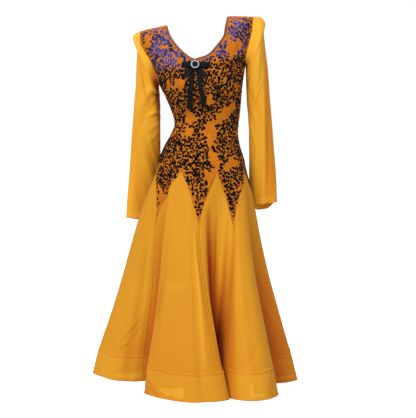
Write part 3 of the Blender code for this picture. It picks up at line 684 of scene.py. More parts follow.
def painted_fold_shade(heading, z):
    """Tone of the skirt: painted shade, deeper in the folds, a little lighter high up, with the listed
    painted light and shade added.
    """
    heading, z = np.broadcast_arrays(np.asarray(heading, float), np.asarray(z, float))
    across = ((heading - DEPTH_HEADINGS[0]) % 360) / 2
    upward = (z - DEPTH_LEVELS[0]) / (DEPTH_LEVELS[1] - DEPTH_LEVELS[0])
    column = np.clip(across.astype(int), 0, DEPTHS.shape[1] - 2)
    row = np.clip(upward.astype(int), 0, DEPTHS.shape[0] - 2)
    side = np.clip(across - column, 0, 1)
    rise = np.clip(upward - row, 0, 1)
    low = mix(DEPTHS[row, column], DEPTHS[row, column + 1], side)
    high = mix(DEPTHS[row + 1, column], DEPTHS[row + 1, column + 1], side)
    depth = mix(low, high, rise)
    shade = np.clip((depth - DEPTH_START) / (DEPTH_FULL - DEPTH_START), 0, 1)
    lighter = 0.05 * np.clip((z + 900) / 350, -0.8, 1)
    tone = 0.5 - 0.5 * shade + lighter * (1 - shade)
    return np.clip(tone + hand_placed(SKIRT_PAINTED_LIGHT_AND_SHADE, heading, z), 0, 0.6)


# Meshes


def linked(name, data):
    made = bpy.data.objects.new(name, data)
    bpy.context.scene.collection.objects.link(made)
    return made


def new_piece(name, points, faces, cloth=None, tone=None, smooth=False):
    """An object from points in millimetres, with cloth coordinates and tones at its points where given."""
    mesh = bpy.data.meshes.new(name)
    mesh.from_pydata((points * MM).tolist(), [], faces)
    if cloth is not None:
        loops = np.zeros(len(mesh.loops), int)
        mesh.loops.foreach_get("vertex_index", loops)
        mesh.uv_layers.new(name="cloth").data.foreach_set("uv", (cloth[loops] * MM).ravel())
    if tone is not None:
        mesh.attributes.new("tone", "FLOAT", "POINT").data.foreach_set("value", tone.astype(np.float32))
    for face in mesh.polygons:
        face.use_smooth = smooth
    return linked(name, mesh)


def normals_out(made):
    shape = bmesh.new()
    shape.from_mesh(made.data)
    bmesh.ops.recalc_face_normals(shape, faces=shape.faces)
    shape.to_mesh(made.data)
    shape.free()
    return made


def moved(faces, base):
    return [tuple(base + index for index in face) for face in faces]


def grid_faces(rows, columns, closed=False):
    """Faces between the rows of a grid of points, and all round each row where it is closed."""
    faces = []
    for row in range(rows - 1):
        for column in range(columns if closed else columns - 1):
            after = (column + 1) % columns
            here = row * columns
            there = here + columns
            faces.append((here + column, here + after, there + after, there + column))
    return faces


def stack_faces(levels, sides, caps=(True, True)):
    """Faces of a stack of closed rings of points, with a cap on the first and the last ring where asked."""
    faces = grid_faces(levels, sides, True)
    if caps[0]:
        faces.append(tuple(reversed(range(sides))))
    if caps[1]:
        faces.append(tuple(range((levels - 1) * sides, levels * sides)))
    return faces


def repeated(stacks, template):
    """Points and faces of many like forms, from an array of form, level, corner and place."""
    size = stacks.shape[1] * stacks.shape[2]
    faces = []
    for number in range(len(stacks)):
        faces += moved(template, number * size)
    return stacks.reshape(-1, 3), faces


def cloth_piece(name, grids, outward, tone=None):
    """A cloth surface with its coordinates in millimetres, facing the way the outward test says.

    Each grid is points, coordinates and whether its rows are closed. Tones run from 0, painted shade deep in
    a fold, over 0.5, the plain cloth, to 1, a single sheer layer.
    """
    faces = []
    count = 0
    for grid, _, closed in grids:
        rows, columns = grid.shape[:2]
        faces += moved(grid_faces(rows, columns, closed), count)
        count += rows * columns
    points = np.concatenate([grid.reshape(-1, 3) for grid, _, _ in grids])
    coordinates = np.concatenate([cloth.reshape(-1, 2) for _, cloth, _ in grids])
    corners = points[np.array(faces)]
    normals = np.cross(corners[:, 2] - corners[:, 0], corners[:, 3] - corners[:, 1])
    if (normals * outward(corners.mean(1))).sum() < 0:
        faces = [face[::-1] for face in faces]
    tone = np.full(len(points), PLAIN_TONE) if tone is None else tone.ravel()
    return new_piece(name, points, faces, coordinates, tone, True)


def from_axis(places):
    """Outward from the upright axis of the body."""
    return places * np.array([1.0, 1.0, 0.0]) - np.array([10.0, 0.0, 0.0])


def finish_piece(made, material, slot, *nodes):
    made.data.materials.append(material)
    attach(made, "root")
    if nodes:
        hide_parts(*nodes)
    return made


def cloth_shell(node, kind, grids, outward, wall, material, slot, tone=None, offset=-1.0):
    """A cloth surface with a wall, in place of the solid of that node."""
    made = cloth_piece(node + kind, grids, outward, tone)
    if len(grids) > 1:
        made.modifiers.new("weld", "WELD").merge_threshold = WELD_GAP * MM
    tool = made.modifiers.new("cloth thickness", "SOLIDIFY")
    tool.thickness = wall * MM
    tool.offset = offset
    return finish_piece(made, material, slot, node)


def two_sides(ahead):
    """Sideways and upward directions for each direction ahead."""
    ahead = unit(ahead)
    helper = np.where(np.abs(ahead[:, 2:3]) < 0.9, [[0.0, 0.0, 1.0]], [[1.0, 0.0, 0.0]])
    side = unit(np.cross(ahead, helper))
    return side, np.cross(side, ahead)


def stitches(name, path, material, slot, closed=False):
    """A row of short thread stitches along a path, in one mesh."""
    if closed:
        path = np.concatenate([path, path[:1]])
    lengths = travelled(path)
    starts = np.arange(0.5, lengths[-1] - STITCH_PITCH, STITCH_PITCH)
    ends = []
    for at in (starts, starts + STITCH_LENGTH):
        ends.append(np.stack([np.interp(at, lengths, path[:, k]) for k in range(3)], -1))
    side, up = two_sides(ends[1] - ends[0])
    corners = [place + turn * STITCH_RADIUS for place in ends for turn in (side, up, -side, -up)]
    points, faces = repeated(np.stack(corners, 1).reshape(-1, 2, 4, 3), stack_faces(2, 4))
    return finish_piece(normals_out(new_piece(name, points, faces)), material, slot)


def tube(name, path, radius, material, slot, closed=False):
    """A thread or rolled edge of even thickness along a path of points."""
    ahead = np.roll(path, -1, 0) - np.roll(path, 1, 0) if closed else np.gradient(path, axis=0)
    side, up = two_sides(ahead)
    angles = np.linspace(0, 2 * math.pi, TUBE_SIDES, endpoint=False)[None, :, None]
    ring = side[:, None, :] * np.cos(angles) + up[:, None, :] * np.sin(angles)
    points = (path[:, None, :] + ring * radius).reshape(-1, 3)
    if closed:
        endless = grid_faces(len(path) + 1, TUBE_SIDES, True)
        faces = [tuple(index % len(points) for index in face) for face in endless]
    else:
        faces = stack_faces(len(path), TUBE_SIDES)
    return finish_piece(new_piece(name, points, faces, smooth=True), material, slot)


# Materials

SOCKETS = {
    "colour": "Base Color",
    "roughness": "Roughness",
    "specular": "Specular IOR Level",
    "sheen": "Sheen Weight",
    "sheen_roughness": "Sheen Roughness",
    "sheen_tint": "Sheen Tint",
    "metallic": "Metallic",
    "ior": "IOR",
    "transmission": "Transmission Weight",
    "coat": "Coat Weight",
}


def srgb(red, green, blue):
    """Linear colour from the usual 0 to 255 values."""
    values = []
    for part in (red, green, blue):
        share = part / 255
        values.append(share / 12.92 if share <= 0.04045 else ((share + 0.055) / 1.055) ** 2.4)
    return (*values, 1.0)


class Look:
    """A material in the making, with the few kinds of nodes that the dress needs."""

    def __init__(self, name, **values):
        self.material = bpy.data.materials.new(name)
        self.material.use_nodes = True
        self.tree = self.material.node_tree
        self.shader = self.tree.nodes["Principled BSDF"]
        for word, value in values.items():
            self.shader.inputs[SOCKETS[word]].default_value = value

    def node(self, kind, sockets, **settings):
        """A node with its settings. Each socket gets a constant, or a link from another node's output."""
        made = self.tree.nodes.new("ShaderNode" + kind)
        for word, value in settings.items():
            setattr(made, word, value)
        for socket, value in sockets.items():
            if isinstance(value, bpy.types.NodeSocket):
                self.tree.links.new(value, made.inputs[socket])
            else:
                made.inputs[socket].default_value = value
        return made

    def on_cloth(self, *scale):
        """Coordinates on the cloth, in metres times the scale."""
        uv = self.node("UVMap", {}, uv_map="cloth").outputs["UV"]
        return self.node("Mapping", {"Vector": uv, "Scale": scale}).outputs["Vector"]

    def in_space(self):
        return self.node("TexCoord", {}).outputs["Object"]

    def tone(self):
        return self.node("Attribute", {}, attribute_name="tone").outputs["Fac"]

    def noise(self, vector, scale, detail=3.0):
        return self.node("TexNoise", {"Vector": vector, "Scale": scale, "Detail": detail}).outputs["Fac"]

    def waves(self, vector, direction, scale, distortion, detail):
        sockets = {"Vector": vector, "Scale": scale, "Distortion": distortion, "Detail": detail}
        return self.node("TexWave", sockets, bands_direction=direction).outputs["Fac"]

    def weave(self, vector, warp, weft):
        """Height of a plain weave: two sets of threads crossing."""
        across = self.waves(vector, "X", warp, 0.6, 1.0)
        along_it = self.waves(vector, "Y", weft, 0.6, 1.0)
        return self.node("Math", {0: across, 1: along_it}, operation="MULTIPLY").outputs[0]

    def colours(self, factor, *stops):
        """Colour by a factor, from stops of place and colour."""
        ramp = self.node("ValToRGB", {"Fac": factor})
        elements = ramp.color_ramp.elements
        while len(elements) < len(stops):
            elements.new(0.5)
        for element, (place, colour) in zip(elements, stops):
            element.position = place
            element.color = colour
        return ramp.outputs["Color"]

    def patchy(self, factor, dark, light):
        return self.colours(factor, (0.35, dark), (0.65, light))

    def varied(self, colour, patches):
        """The colour made a little deeper and lighter by patches."""
        change = self.node("MapRange", {"Value": patches, "To Min": 0.93, "To Max": 1.05}).outputs["Result"]
        return self.node("VectorMath", {0: colour, "Scale": change}, operation="SCALE").outputs["Vector"]

    def bump(self, height, distance, strength, normal=None):
        sockets = {"Height": height, "Distance": distance * MM, "Strength": strength}
        if normal is not None:
            sockets["Normal"] = normal
        return self.node("Bump", sockets).outputs["Normal"]

    def finish(self, colour, normal=None):
        self.tree.links.new(colour, self.shader.inputs["Base Color"])
        if normal is not None:
            self.tree.links.new(normal, self.shader.inputs["Normal"])
        return self.material


def crepe_material(name, stops, sheer):
    """Matt crepe that lets a little light through."""
    light = stops[-2][1]
    look = Look(name, roughness=0.82, specular=0.25, sheen=0.18, sheen_roughness=0.5, sheen_tint=light)
    vector = look.on_cloth(1000, 1000, 1000)
    streaks = look.noise(look.on_cloth(26, 4, 1), 1.0, 2.0)
    normal = look.bump(streaks, 5.0, 0.5)
    normal = look.bump(look.weave(vector, 0.55, 0.5), 0.10, 0.7, normal)
    normal = look.bump(look.noise(vector, 1.4, 2.0), 0.12, 0.5, normal)
    through = look.node("BsdfTranslucent", {"Color": AMBER_GLOW, "Normal": normal})
    blend = look.node("MixShader", {"Fac": sheer, 1: look.shader.outputs[0], 2: through.outputs[0]})
    look.tree.links.new(blend.outputs[0], look.tree.nodes["Material Output"].inputs["Surface"])
    patches = look.noise(look.on_cloth(18, 7, 1), 1.0, 3.0)
    return look.finish(look.varied(look.colours(look.tone(), *stops), patches), normal)


def bodice_material():
    tint = srgb(240, 170, 70)
    sheen = {"sheen": 0.08, "sheen_roughness": 0.4, "sheen_tint": tint}
    look = Look("bodice stretch cloth", roughness=0.72, specular=0.15, **sheen)
    vector = look.on_cloth(1000, 1000, 1000)
    colour = look.patchy(look.noise(vector, 0.05), srgb(178, 98, 6), srgb(196, 112, 10))
    return look.finish(colour, look.bump(look.weave(vector, 0.9, 0.7), 0.12, 0.8))


def flock_material():
    """Short velvet pile, blue where it is lit from above and near black elsewhere."""
    tint = srgb(60, 84, 180)
    sheen = {"sheen": 0.12, "sheen_roughness": 0.3, "sheen_tint": tint}
    look = Look("flocked pile", roughness=0.95, specular=0.1, **sheen)
    colour = look.colours(look.tone(), (0.0, srgb(7, 7, 11)), (1.0, srgb(46, 68, 146)))
    return look.finish(colour, look.bump(look.noise(look.in_space(), 2600.0, 2.0), 0.25, 0.9))


def ribbon_material():
    look = Look("black ribbon", roughness=0.5, specular=0.1)
    ribs = look.waves(look.on_cloth(1000, 1000, 1000), "Y", 0.32, 0.3, 2.0)
    colour = look.colours(ribs, (0.2, srgb(3, 3, 4)), (0.9, srgb(14, 15, 18)))
    return look.finish(colour, look.bump(ribs, 0.18, 0.8))


def thread_material(name, colour):
    look = Look(name, roughness=0.6)
    twist = look.noise(look.in_space(), 1800.0, 2.0)
    dark = (*[part * 0.75 for part in colour[:3]], 1.0)
    return look.finish(look.patchy(twist, dark, colour), look.bump(twist, 0.15, 0.6))


def stone_material():
    look = Look("clear cut stone", roughness=0.04, ior=1.9, transmission=0.45, coat=1.0)
    clouds = look.noise(look.in_space(), 300.0, 2.0)
    return look.finish(look.patchy(clouds, srgb(226, 232, 240), srgb(255, 255, 255)))


def metal_material():
    look = Look("dark metal setting", metallic=1.0, roughness=0.4)
    wear = look.noise(look.in_space(), 500.0, 3.0)
    return look.finish(look.patchy(wear, srgb(34, 35, 39), srgb(64, 65, 70)), look.bump(wear, 0.05, 0.3))


def black_stone_material():
    look = Look("black polished stone", roughness=0.34, specular=0.06)
    return look.finish(look.patchy(look.noise(look.in_space(), 220.0, 2.0), srgb(4, 4, 6), srgb(22, 23, 28)))


AMBER_GLOW = srgb(236, 144, 20)
# Colours by tone. The deep red-brown end is the painted shade of the folds, 0.5 the plain amber crepe, and
# the light end a single sheer layer
SKIRT_STOPS = (
    (0.0, srgb(132, 40, 2)),
    (0.3, srgb(190, 97, 12)),
    (0.5, srgb(207, 137, 21)),
    (0.62, srgb(219, 156, 34)),
    (1.0, srgb(230, 192, 118)),
)
# The sleeves' colours: the same crepe painted lighter, as painted light, with the same painted shade at the
# deep end
SLEEVE_LIT_STOPS = (
    (0.0, srgb(132, 40, 2)),
    (0.3, srgb(206, 112, 16)),
    (0.5, srgb(240, 164, 34)),
    (0.62, srgb(246, 182, 48)),
    (1.0, srgb(238, 204, 128)),
)
CREPE = crepe_material("amber crepe", SKIRT_STOPS, 0.12)
# The sleeves' crepe is a lighter copy of the skirt's: painted light
SLEEVE_LIT_CREPE = crepe_material("amber crepe painted lighter", SLEEVE_LIT_STOPS, 0.16)
BAND_CREPE = crepe_material("amber hem band", SKIRT_STOPS, 0.1)
BODICE_CLOTH = bodice_material()
FLOCK = flock_material()
RIBBON = ribbon_material()
THREAD = thread_material("amber thread", srgb(224, 140, 26))
EDGE = thread_material("rolled edge", srgb(205, 112, 14))
BINDING = thread_material("rust binding", srgb(122, 56, 22))
STONE = stone_material()
METAL = metal_material()
BLACK_STONE = black_stone_material()


# Bodice


def wedge_edge(point, godet, bend, share):
    """Heading and level on the edge from a godet's tip to the point beside it, by share of the way."""
    held = np.clip(share / POINT_END, 0, 1)
    heading = point[0] - (point[0] - godet.heading) * (1 - held) ** bend
    return heading, mix(godet.z, point[1], share)


def strap_grid(arm, neck, side, neck_first):
    """From the shoulder down to the bottom of the neck opening, between the armhole and the neck edge."""
    even = np.linspace(0, 1, STRAP_ROWS)
    shares = even * even * 0.6 + even * 0.4
    arm_edge = along(arm, shares * STRAP_ARM_SHARE)
    neck_edge = along(neck, shares)
    across = np.linspace(0, 1, STRAP_COLUMNS)[None, :, None]
    first, last = (neck_edge, arm_edge) if neck_first else (arm_edge, neck_edge)
    flat = mix(first[:, None, :], last[:, None, :], across)
    points, directions = chest_place(flat[..., 0], flat[..., 1], side)
    heading = heading_at(flat[..., 0], flat[..., 1], side)
    return creased(points, directions, heading, flat[..., 1]), flat, False


def chest_grid(panel, lowest, underarm, levels):
    """From the bottom of the neck opening down to the level of the underarms."""
    share = np.linspace(0, 1, len(lowest))
    low = body(underarm, levels)
    points = []
    flat = []
    for step in np.linspace(0, 1, CHEST_ROWS):
        row = np.stack([mix(lowest[:, 0], low[:, 0], step), mix(lowest[:, 1], low[:, 2], step)], -1)
        for edge, pull, end in ((panel.arms[0], 1 - 3 * share, 0), (panel.arms[1], 3 * share - 2, -1)):
            goal = along(edge, mix(STRAP_ARM_SHARE, 1.0, step))
            row = row + np.clip(pull, 0, 1)[:, None] * (goal - row[end])
        if step < 1:
            places, directions = chest_place(row[:, 0], row[:, 1], panel.side)
            heading = heading_at(row[:, 0], row[:, 1], panel.side)
        else:
            places, directions = body_place(underarm, levels)
            heading = underarm
        points.append(creased(places, directions, heading, row[:, 1]))
        flat.append(row)
    return np.array(points), np.array(flat), False


def bodice_grids(panel):
    left = strap_grid(panel.arms[0], panel.necks[0], panel.side, False)
    right = strap_grid(panel.arms[1], panel.necks[1], panel.side, True)
    lowest = np.concatenate([left[1][-1], right[1][-1][1:]])
    width = len(lowest)
    share = np.linspace(0, 1, width)
    underarm = mix(-90.0, 90.0, share) if panel.side > 0 else mix(270.0, 90.0, share)
    levels = mix(panel.arms[0][-1][1], panel.arms[1][-1][1], share)
    grids = [left, right, chest_grid(panel, lowest, underarm, levels)]

    pairs = list(zip(panel.godets, panel.godets[1:]))
    spans = [abs(end.heading - start.heading) for start, end in pairs]
    counts = [round(span / sum(spans) * (width - 1)) for span in spans]
    counts[1] = width - 1 - counts[0] - counts[2]
    bottom = []
    for (start, end), count in zip(pairs, counts):
        steps = np.linspace(0, 1, count + 1)[: None if end is panel.godets[-1] else -1]
        bottom.append([mix(start.heading, end.heading, steps), mix(start.z, end.z, steps)])
    bottom = np.concatenate(bottom, 1)
    down = np.linspace(0, 1, WAIST_ROWS)[:, None]
    heading = mix(underarm[None, :], bottom[0][None, :], down)
    level = mix(levels[None, :], bottom[1][None, :], down)
    grids.append(body_grid(heading, level))

    shares = np.linspace(0, POINT_END, POINT_ROWS)
    for (start, end), tip, count in zip(pairs, panel.points, counts):
        if panel.side > 0:
            bends = start.right_bend, end.left_bend
        else:
            bends = start.left_bend, end.right_bend
        edges = zip(wedge_edge(tip, start, bends[0], shares), wedge_edge(tip, end, bends[1], shares))
        across = np.linspace(0, 1, count + 1)[None, :]
        grids.append(body_grid(*(mix(one[:, None], other[:, None], across) for one, other in edges)))
    return grids


def body_grid(heading, level, proud=0.0):
    """The creased body surface, raised by proud, with cloth coordinates."""
    heading, level = np.broadcast_arrays(heading, level)
    points, directions = body_place(heading, level)
    points = creased(points, directions, heading, level)
    points = points + directions * np.broadcast_to(proud, level.shape)[..., None]
    metric = curve(SECTION_CURVE, level)
    cloth = np.stack([heading * (metric[..., 1] - metric[..., 0]) / 2 * math.pi / 180, level], -1)
    return points, cloth, False


def make_bodice():
    for panel in PANELS:
        node = "bodice_" + panel.name
        cloth_shell(node, "_cloth", bodice_grids(panel), from_axis, SHELL, BODICE_CLOTH, "bodice")


# Skirt


def godet_places(godet, points):
    """Headings and levels of the cloth of a godet, from its tip down to just under the hem band."""
    shares = np.concatenate([np.linspace(0.004, POINT_END, 44), [1.0]])
    lower = np.linspace(0, 1, 84)[1:]
    edges = []
    for point, bend in zip(points, (godet.left_bend, godet.right_bend)):
        heading, level = wedge_edge(point, godet, bend, shares)
        heading = np.concatenate([heading, np.full(len(lower), float(point[0]))])
        level = np.concatenate([level, mix(point[1], BAND_TOP_Z - BAND_OVERLAP, lower)])
        edges.append((heading[:, None], level[:, None]))
    across = np.linspace(0, 1, int(hem_length(points) / GRID))[None, :]
    return mix(edges[0][0], edges[1][0], across), mix(edges[0][1], edges[1][1], across)


def hem_length(points):
    return travelled(body(np.linspace(points[0][0], points[1][0], 80), BAND_TOP_Z))[-1]


def seam_wave(heading):
    """How the seam of the hem band wanders up and down."""
    wide = 1.5 * np.sin(heading * 0.21 + 0.8) + 1.0 * np.sin(heading * 0.47 + 2.0)
    return wide + 0.6 * np.sin(heading * 0.93)


def inside(outline, heading, z):
    """Whether each place lies within the outline."""
    result = np.zeros(np.shape(heading), bool)
    for (h0, z0), (h1, z1) in zip(outline, np.roll(outline, -1, 0)):
        if z0 == z1:
            continue
        crosses = (z0 > z) != (z1 > z)
        at = h0 + (z - z0) / (z1 - z0) * (h1 - h0)
        result ^= crosses & (heading < at)
    return result


def hump(share, middle, width):
    return np.exp(-(((share - middle) / width) ** 2))


def make_band(side, points):
    """The hem band, a little proud of the skirt, with its seam stitched and its edge turned under."""
    columns = int(hem_length(points) / BAND_GRID)
    heading = np.linspace(points[0][0], points[1][0], columns)[None, :]
    share = np.linspace(0, 1, BAND_ROWS)[:, None]
    level = mix(BAND_TOP_Z + 1.5 + seam_wave(heading), HEM_Z, share)
    heading, share = np.broadcast_arrays(heading, share)
    proud = BAND_PROUD * np.clip(0.3 + share * 20, 0, 1)
    proud = proud + 0.5 * hump(share, 0.035, 0.025) + 0.4 * np.clip((share - 0.95) / 0.04, 0, 1)
    # Tone of the band: the skirt's painted fold shade made a little lighter, painted shade under the seam,
    # and the patches
    tone = painted_fold_shade(heading, level) + BAND_LIGHTER - SEAM_SHADE * hump(share, 0.075, 0.02)
    for change, corners in BAND_PATCHES:
        tone = tone + change * inside(np.array(corners, float), heading, level)
    grid = body_grid(heading, level, proud)
    name = "hem_" + side
    cloth_shell(name, "_band", [grid], from_axis, BAND_SHELL, BAND_CREPE, "skirt", tone)
    tube(name + "_edge", grid[0][-1] + [0, 0, 0.8], 1.2, EDGE, "skirt")
    stitches(name + "_stitches", body_grid(heading[0], level[0] - 3.4, BAND_PROUD + 0.6)[0], EDGE, "skirt")


def make_skirt():
    for index, godet in enumerate(GODETS):
        points = POINTS[index:index + 2]
        heading, level = godet_places(godet, points)
        name = "godet_" + godet.name
        grids = [body_grid(heading, level)]
        # Its tone is painted shade, deeper in the folds
        cloth_shell(name, "_cloth", grids, from_axis, SHELL, CREPE, "skirt", painted_fold_shade(heading, level))
        make_band(godet.name, points)
        seams = (("left", points[0], godet.left_bend, 0.5), ("right", points[1], godet.right_bend, -0.5))
        for side, point, bend, inward in seams:
            edge_heading, edge_z = wedge_edge(point, godet, bend, np.linspace(0.01, POINT_END, 60))
            line = body_grid(edge_heading + inward, edge_z, 0.15)[0]
            stitches(name + "_seam_" + side, line, THREAD, "skirt")


# Sleeves


def armhole_loop(sleeve, place):
    """The armhole edge, by place round the sleeve."""
    shares = [share * STRAP_ARM_SHARE for share in STRAP_SHARES]
    shares += [mix(STRAP_ARM_SHARE, 1.0, 0.5), 1.0]
    share = np.interp(np.minimum(place, 1 - place), np.linspace(0, 0.5, len(shares)), shares)
    loops = []
    for line, side in ((sleeve.front, 1), (sleeve.back, -1)):
        edge = along(line, share)
        loops.append(chest_place(edge[:, 0], edge[:, 1], side)[0])
    return np.where((place <= 0.5)[:, None], *loops)


def ring_points(ring, place):
    outer = np.array(ring[0:3], float)
    inner = np.array(ring[3:6], float)
    across = (outer - inner) / 2
    forward = unit(np.array([across[1], -across[0], 0.0]))
    if forward[1] > 0:
        forward = -forward
    angle = 2 * math.pi * place
    deep = power(np.sin(angle), SLEEVE_POWER)[:, None] * forward * ring[6]
    return (outer + inner) / 2 + np.cos(angle)[:, None] * across + deep


def signed_share(place):
    """Signed share of a turn, from a difference of places round a sleeve."""
    return (place + 0.5) % 1.0 - 0.5


def ring_rows(rows, ring, place):
    """Sum of the heights, or painted light and shade, of rows placed by ring and by place round the sleeve.
    """
    total = np.zeros(np.broadcast(ring, place).shape)
    for at_ring, at_place, slant, length, width, height in rows:
        across = signed_share(place - at_place - slant * (ring - at_ring))
        total += height * np.exp(-(((ring - at_ring) / length) ** 2) - (across / width) ** 2)
    return total


def sleeve_grid(sleeve):
    """Points, cloth coordinates, outward directions and tone of a sleeve, by ring and by place round it."""
    place = np.linspace(0, 1, SLEEVE_SIDES + 1)[:-1]
    outward = -1 if sleeve.rings[0][0] < 0 else 1
    fall = np.where((place < 0.4) | (place > 0.6), -0.3, -3.0)
    away = unit(np.stack([np.full(len(place), float(outward)), 0 * fall, fall], -1))
    start = armhole_loop(sleeve, place) + away * 0.5
    rows = np.array([start] + [ring_points(ring, place) for ring in sleeve.rings])
    table = np.column_stack([np.arange(len(rows)), rows.reshape(len(rows), -1)])
    last = len(sleeve.rings)
    ring = np.concatenate([np.linspace(0, last - 0.215, 112), np.linspace(last - 0.2, last, 9)])[:, None]
    grid = curve(table, ring[:, 0]).reshape(len(ring), len(place), 3)
    lower = np.clip((ring - last + CUFF_REACH) / CUFF_REACH, 0, 1) ** 2
    aside = signed_share(place - sleeve.drop_place) / sleeve.drop_width
    grid[..., 2] -= sleeve.drop * lower * np.exp(-(aside**4))
    around = np.roll(grid, -1, 1) - np.roll(grid, 1, 1)
    directions = unit(np.cross(around, np.gradient(grid, axis=0))) * outward
    cuff = ring > last - 0.21
    height = ring_rows(sleeve.creases, ring, place) + CUFF_PROUD * cuff
    grid = grid + directions * height[..., None]
    # Tone: the lifted plain tone as painted light, the rows of painted light and shade, painted shade in the
    # creases' troughs and painted light on their crests, and a little lighter on the cuff
    tone = SLEEVE_LIT_TONE + ring_rows(sleeve.shades, ring, place) + 0.012 * np.clip(height, -8, 8) + 0.05 * cuff
    cloth = np.stack(np.broadcast_arrays(place * 300.0, travelled(grid[:, 0])[:, None]), -1)
    return grid, cloth, directions, tone


def make_sleeves():
    for sleeve in SLEEVES:
        grid, cloth, directions, tone = sleeve_grid(sleeve)
        centre = grid.mean(1)

        def outward(places, centre=centre):
            apart = np.abs(places[:, None, 2] - centre[None, :, 2])
            return (places - centre[apart.argmin(1)]) * np.array([1.0, 1.0, 0.0])

        name = sleeve.name
        cloth_shell(name, "_cloth", [(grid, cloth, True)], outward, SHELL, SLEEVE_LIT_CREPE, "sleeves", tone)
        stitches(name + "_cuff_stitches", grid[-8] + directions[-8] * 0.2, THREAD, "sleeves", True)
        tube(name + "_cuff_edge", grid[-1] + [0, 0, 0.5], 0.9, EDGE, "sleeves", True)
        stitches(name + "_armhole_stitches", grid[1] + directions[1] * 0.3, THREAD, "sleeves", True)


# Neck binding


def neck_loop(count):
    """Places round the neck edge, each with its outward direction."""
    shares = np.linspace(0, 1, count)
    parts = []
    for panel in PANELS:
        for line, back in zip(panel.necks[::panel.side], (False, True)):
            edge = along(line, shares[::-1] if back else shares)[:-1]
            parts.append(chest_place(edge[:, 0], edge[:, 1], panel.side))
    return (np.concatenate(kind) for kind in zip(*parts))


def make_binding():
    points, directions = neck_loop(44)
    rise = unit(np.cross(np.roll(points, -1, 0) - np.roll(points, 1, 0), directions))
    steps = np.array([3.2, 2.6, 0.0, -2.0, -4.0, -6.0])
    grid = points - directions * 2.2 + rise * steps[:, None, None]
    cloth = np.stack(np.broadcast_arrays(travelled(points), steps[:, None]), -1)
    middle = points.mean(0)

    def outward(places):
        return (places - middle) * np.array([1.0, 1.0, 0.0])

    cloth_shell("neck_binding", "_cloth", [(grid, cloth, True)], outward, BINDING_WALL, BINDING, "binding")
    tube("neck_edge_roll", points + rise * 0.2 - directions * 0.4, 0.8, BINDING, "binding", True)
    stitches("neck_stitches", points - rise * 5.0 + directions * 0.5, BINDING, "binding", True)


# Flocked leaves: generic sprays that grow over the panel wherever it is still bare

FLOCK_SEED = 11
FLOCK_HEIGHT = 0.5
FLOCK_FOOT = -0.3
FLOCK_TOP_SCALE = 0.88
STEM_STEP = 8.2
STEM_BEND = 11
STEM_WIDTH = (0.8, 0.5)
STEM_HEIGHT = 0.42
STEM_FOOT = 0.2
LEAF_APART = 6.8
LEAF_OFF_STEM = 0.8
BARE_RADIUS = 12.0
START_STEP = 7.0
MAIN_NODES = (7, 13)
TWIG_NODES = (2, 5)
LEAF_LENGTH = (10.0, 16.0)
LEAF_WIDTH = (0.56, 0.74)
LEAF_EDGE = ((0.3, 0.3), (0.62, 0.5), (0.88, 0.34))
LEAF_OUTLINE = ((0.0, 0.0), *LEAF_EDGE, (1.0, 0.0), *[(ahead, -aside) for ahead, aside in LEAF_EDGE[::-1]])
MAP_DEGREES = 2.0
MAP_STEP = 5.0
MAP_HEADINGS = np.arange(-140.0, 302.0, MAP_DEGREES)
MAP_LEVELS = np.arange(-720.0, 45.0, MAP_STEP)
BODY_MAP = body(MAP_HEADINGS[None, :], MAP_LEVELS[:, None]).tolist()
LEAST_PER_DEGREE = 0.7


def mapped(heading, z):
    """Place on the body and millimetres of cloth to a degree there, read from the map."""
    column = min(max((heading - MAP_HEADINGS[0]) / MAP_DEGREES, 0), len(MAP_HEADINGS) - 1.001)
    row = min(max((z - MAP_LEVELS[0]) / MAP_STEP, 0), len(MAP_LEVELS) - 1.001)
    left = int(column)
    here, there = BODY_MAP[int(row)][left:left + 2]
    side = column - left
    place = (mix(here[0], there[0], side), mix(here[1], there[1], side), z)
    return place, max(math.dist(here, there) / MAP_DEGREES, LEAST_PER_DEGREE)


def stepped(heading, z, turn, length):
    """Heading and level at that length along the cloth, in the direction of the turn in degrees."""
    _, per_degree = mapped(heading, z)
    angle = math.radians(turn)
    return heading + length * math.cos(angle) / per_degree, z + length * math.sin(angle)


def skin(heading, z):
    """Points and outward directions at heading and level, over the rounded shoulders too."""
    points, directions = body_place(heading, z)
    x = points[..., 0]
    near = ridge(x) - z < SHOULDER_ROUND
    side = np.where(np.cos(np.radians(heading)) >= 0, 1, -1)
    for choice in (1, -1):
        top, top_directions = chest_place(x, z, choice)
        use = (near & (side == choice))[..., None]
        points = np.where(use, top, points)
        directions = np.where(use, top_directions, directions)
    return creased(points, directions, heading, z), directions


def panel_outline(panel):
    """Edge of a bodice panel, as headings and levels. Its first side is the one with the lower headings."""
    shares = np.linspace(0, 1, 30)
    rows = (panel.godets, panel.points, panel.arms, panel.necks)
    godets, points, arms, necks = (row[::panel.side] for row in rows)
    parts = []
    for line, back in ((arms[0], True), (necks[0], False), (necks[1], True), (arms[1], False)):
        edge = along(line, shares[::-1] if back else shares)
        parts.append(np.stack([heading_at(edge[:, 0], edge[:, 1], panel.side), edge[:, 1]], -1))
    for start, end, point in reversed(list(zip(godets, godets[1:], points))):
        parts.append(np.stack(wedge_edge(point, end, end.left_bend, shares * POINT_END), -1))
        parts.append(np.stack(wedge_edge(point, start, start.right_bend, shares * POINT_END), -1)[::-1])
    return np.concatenate(parts)


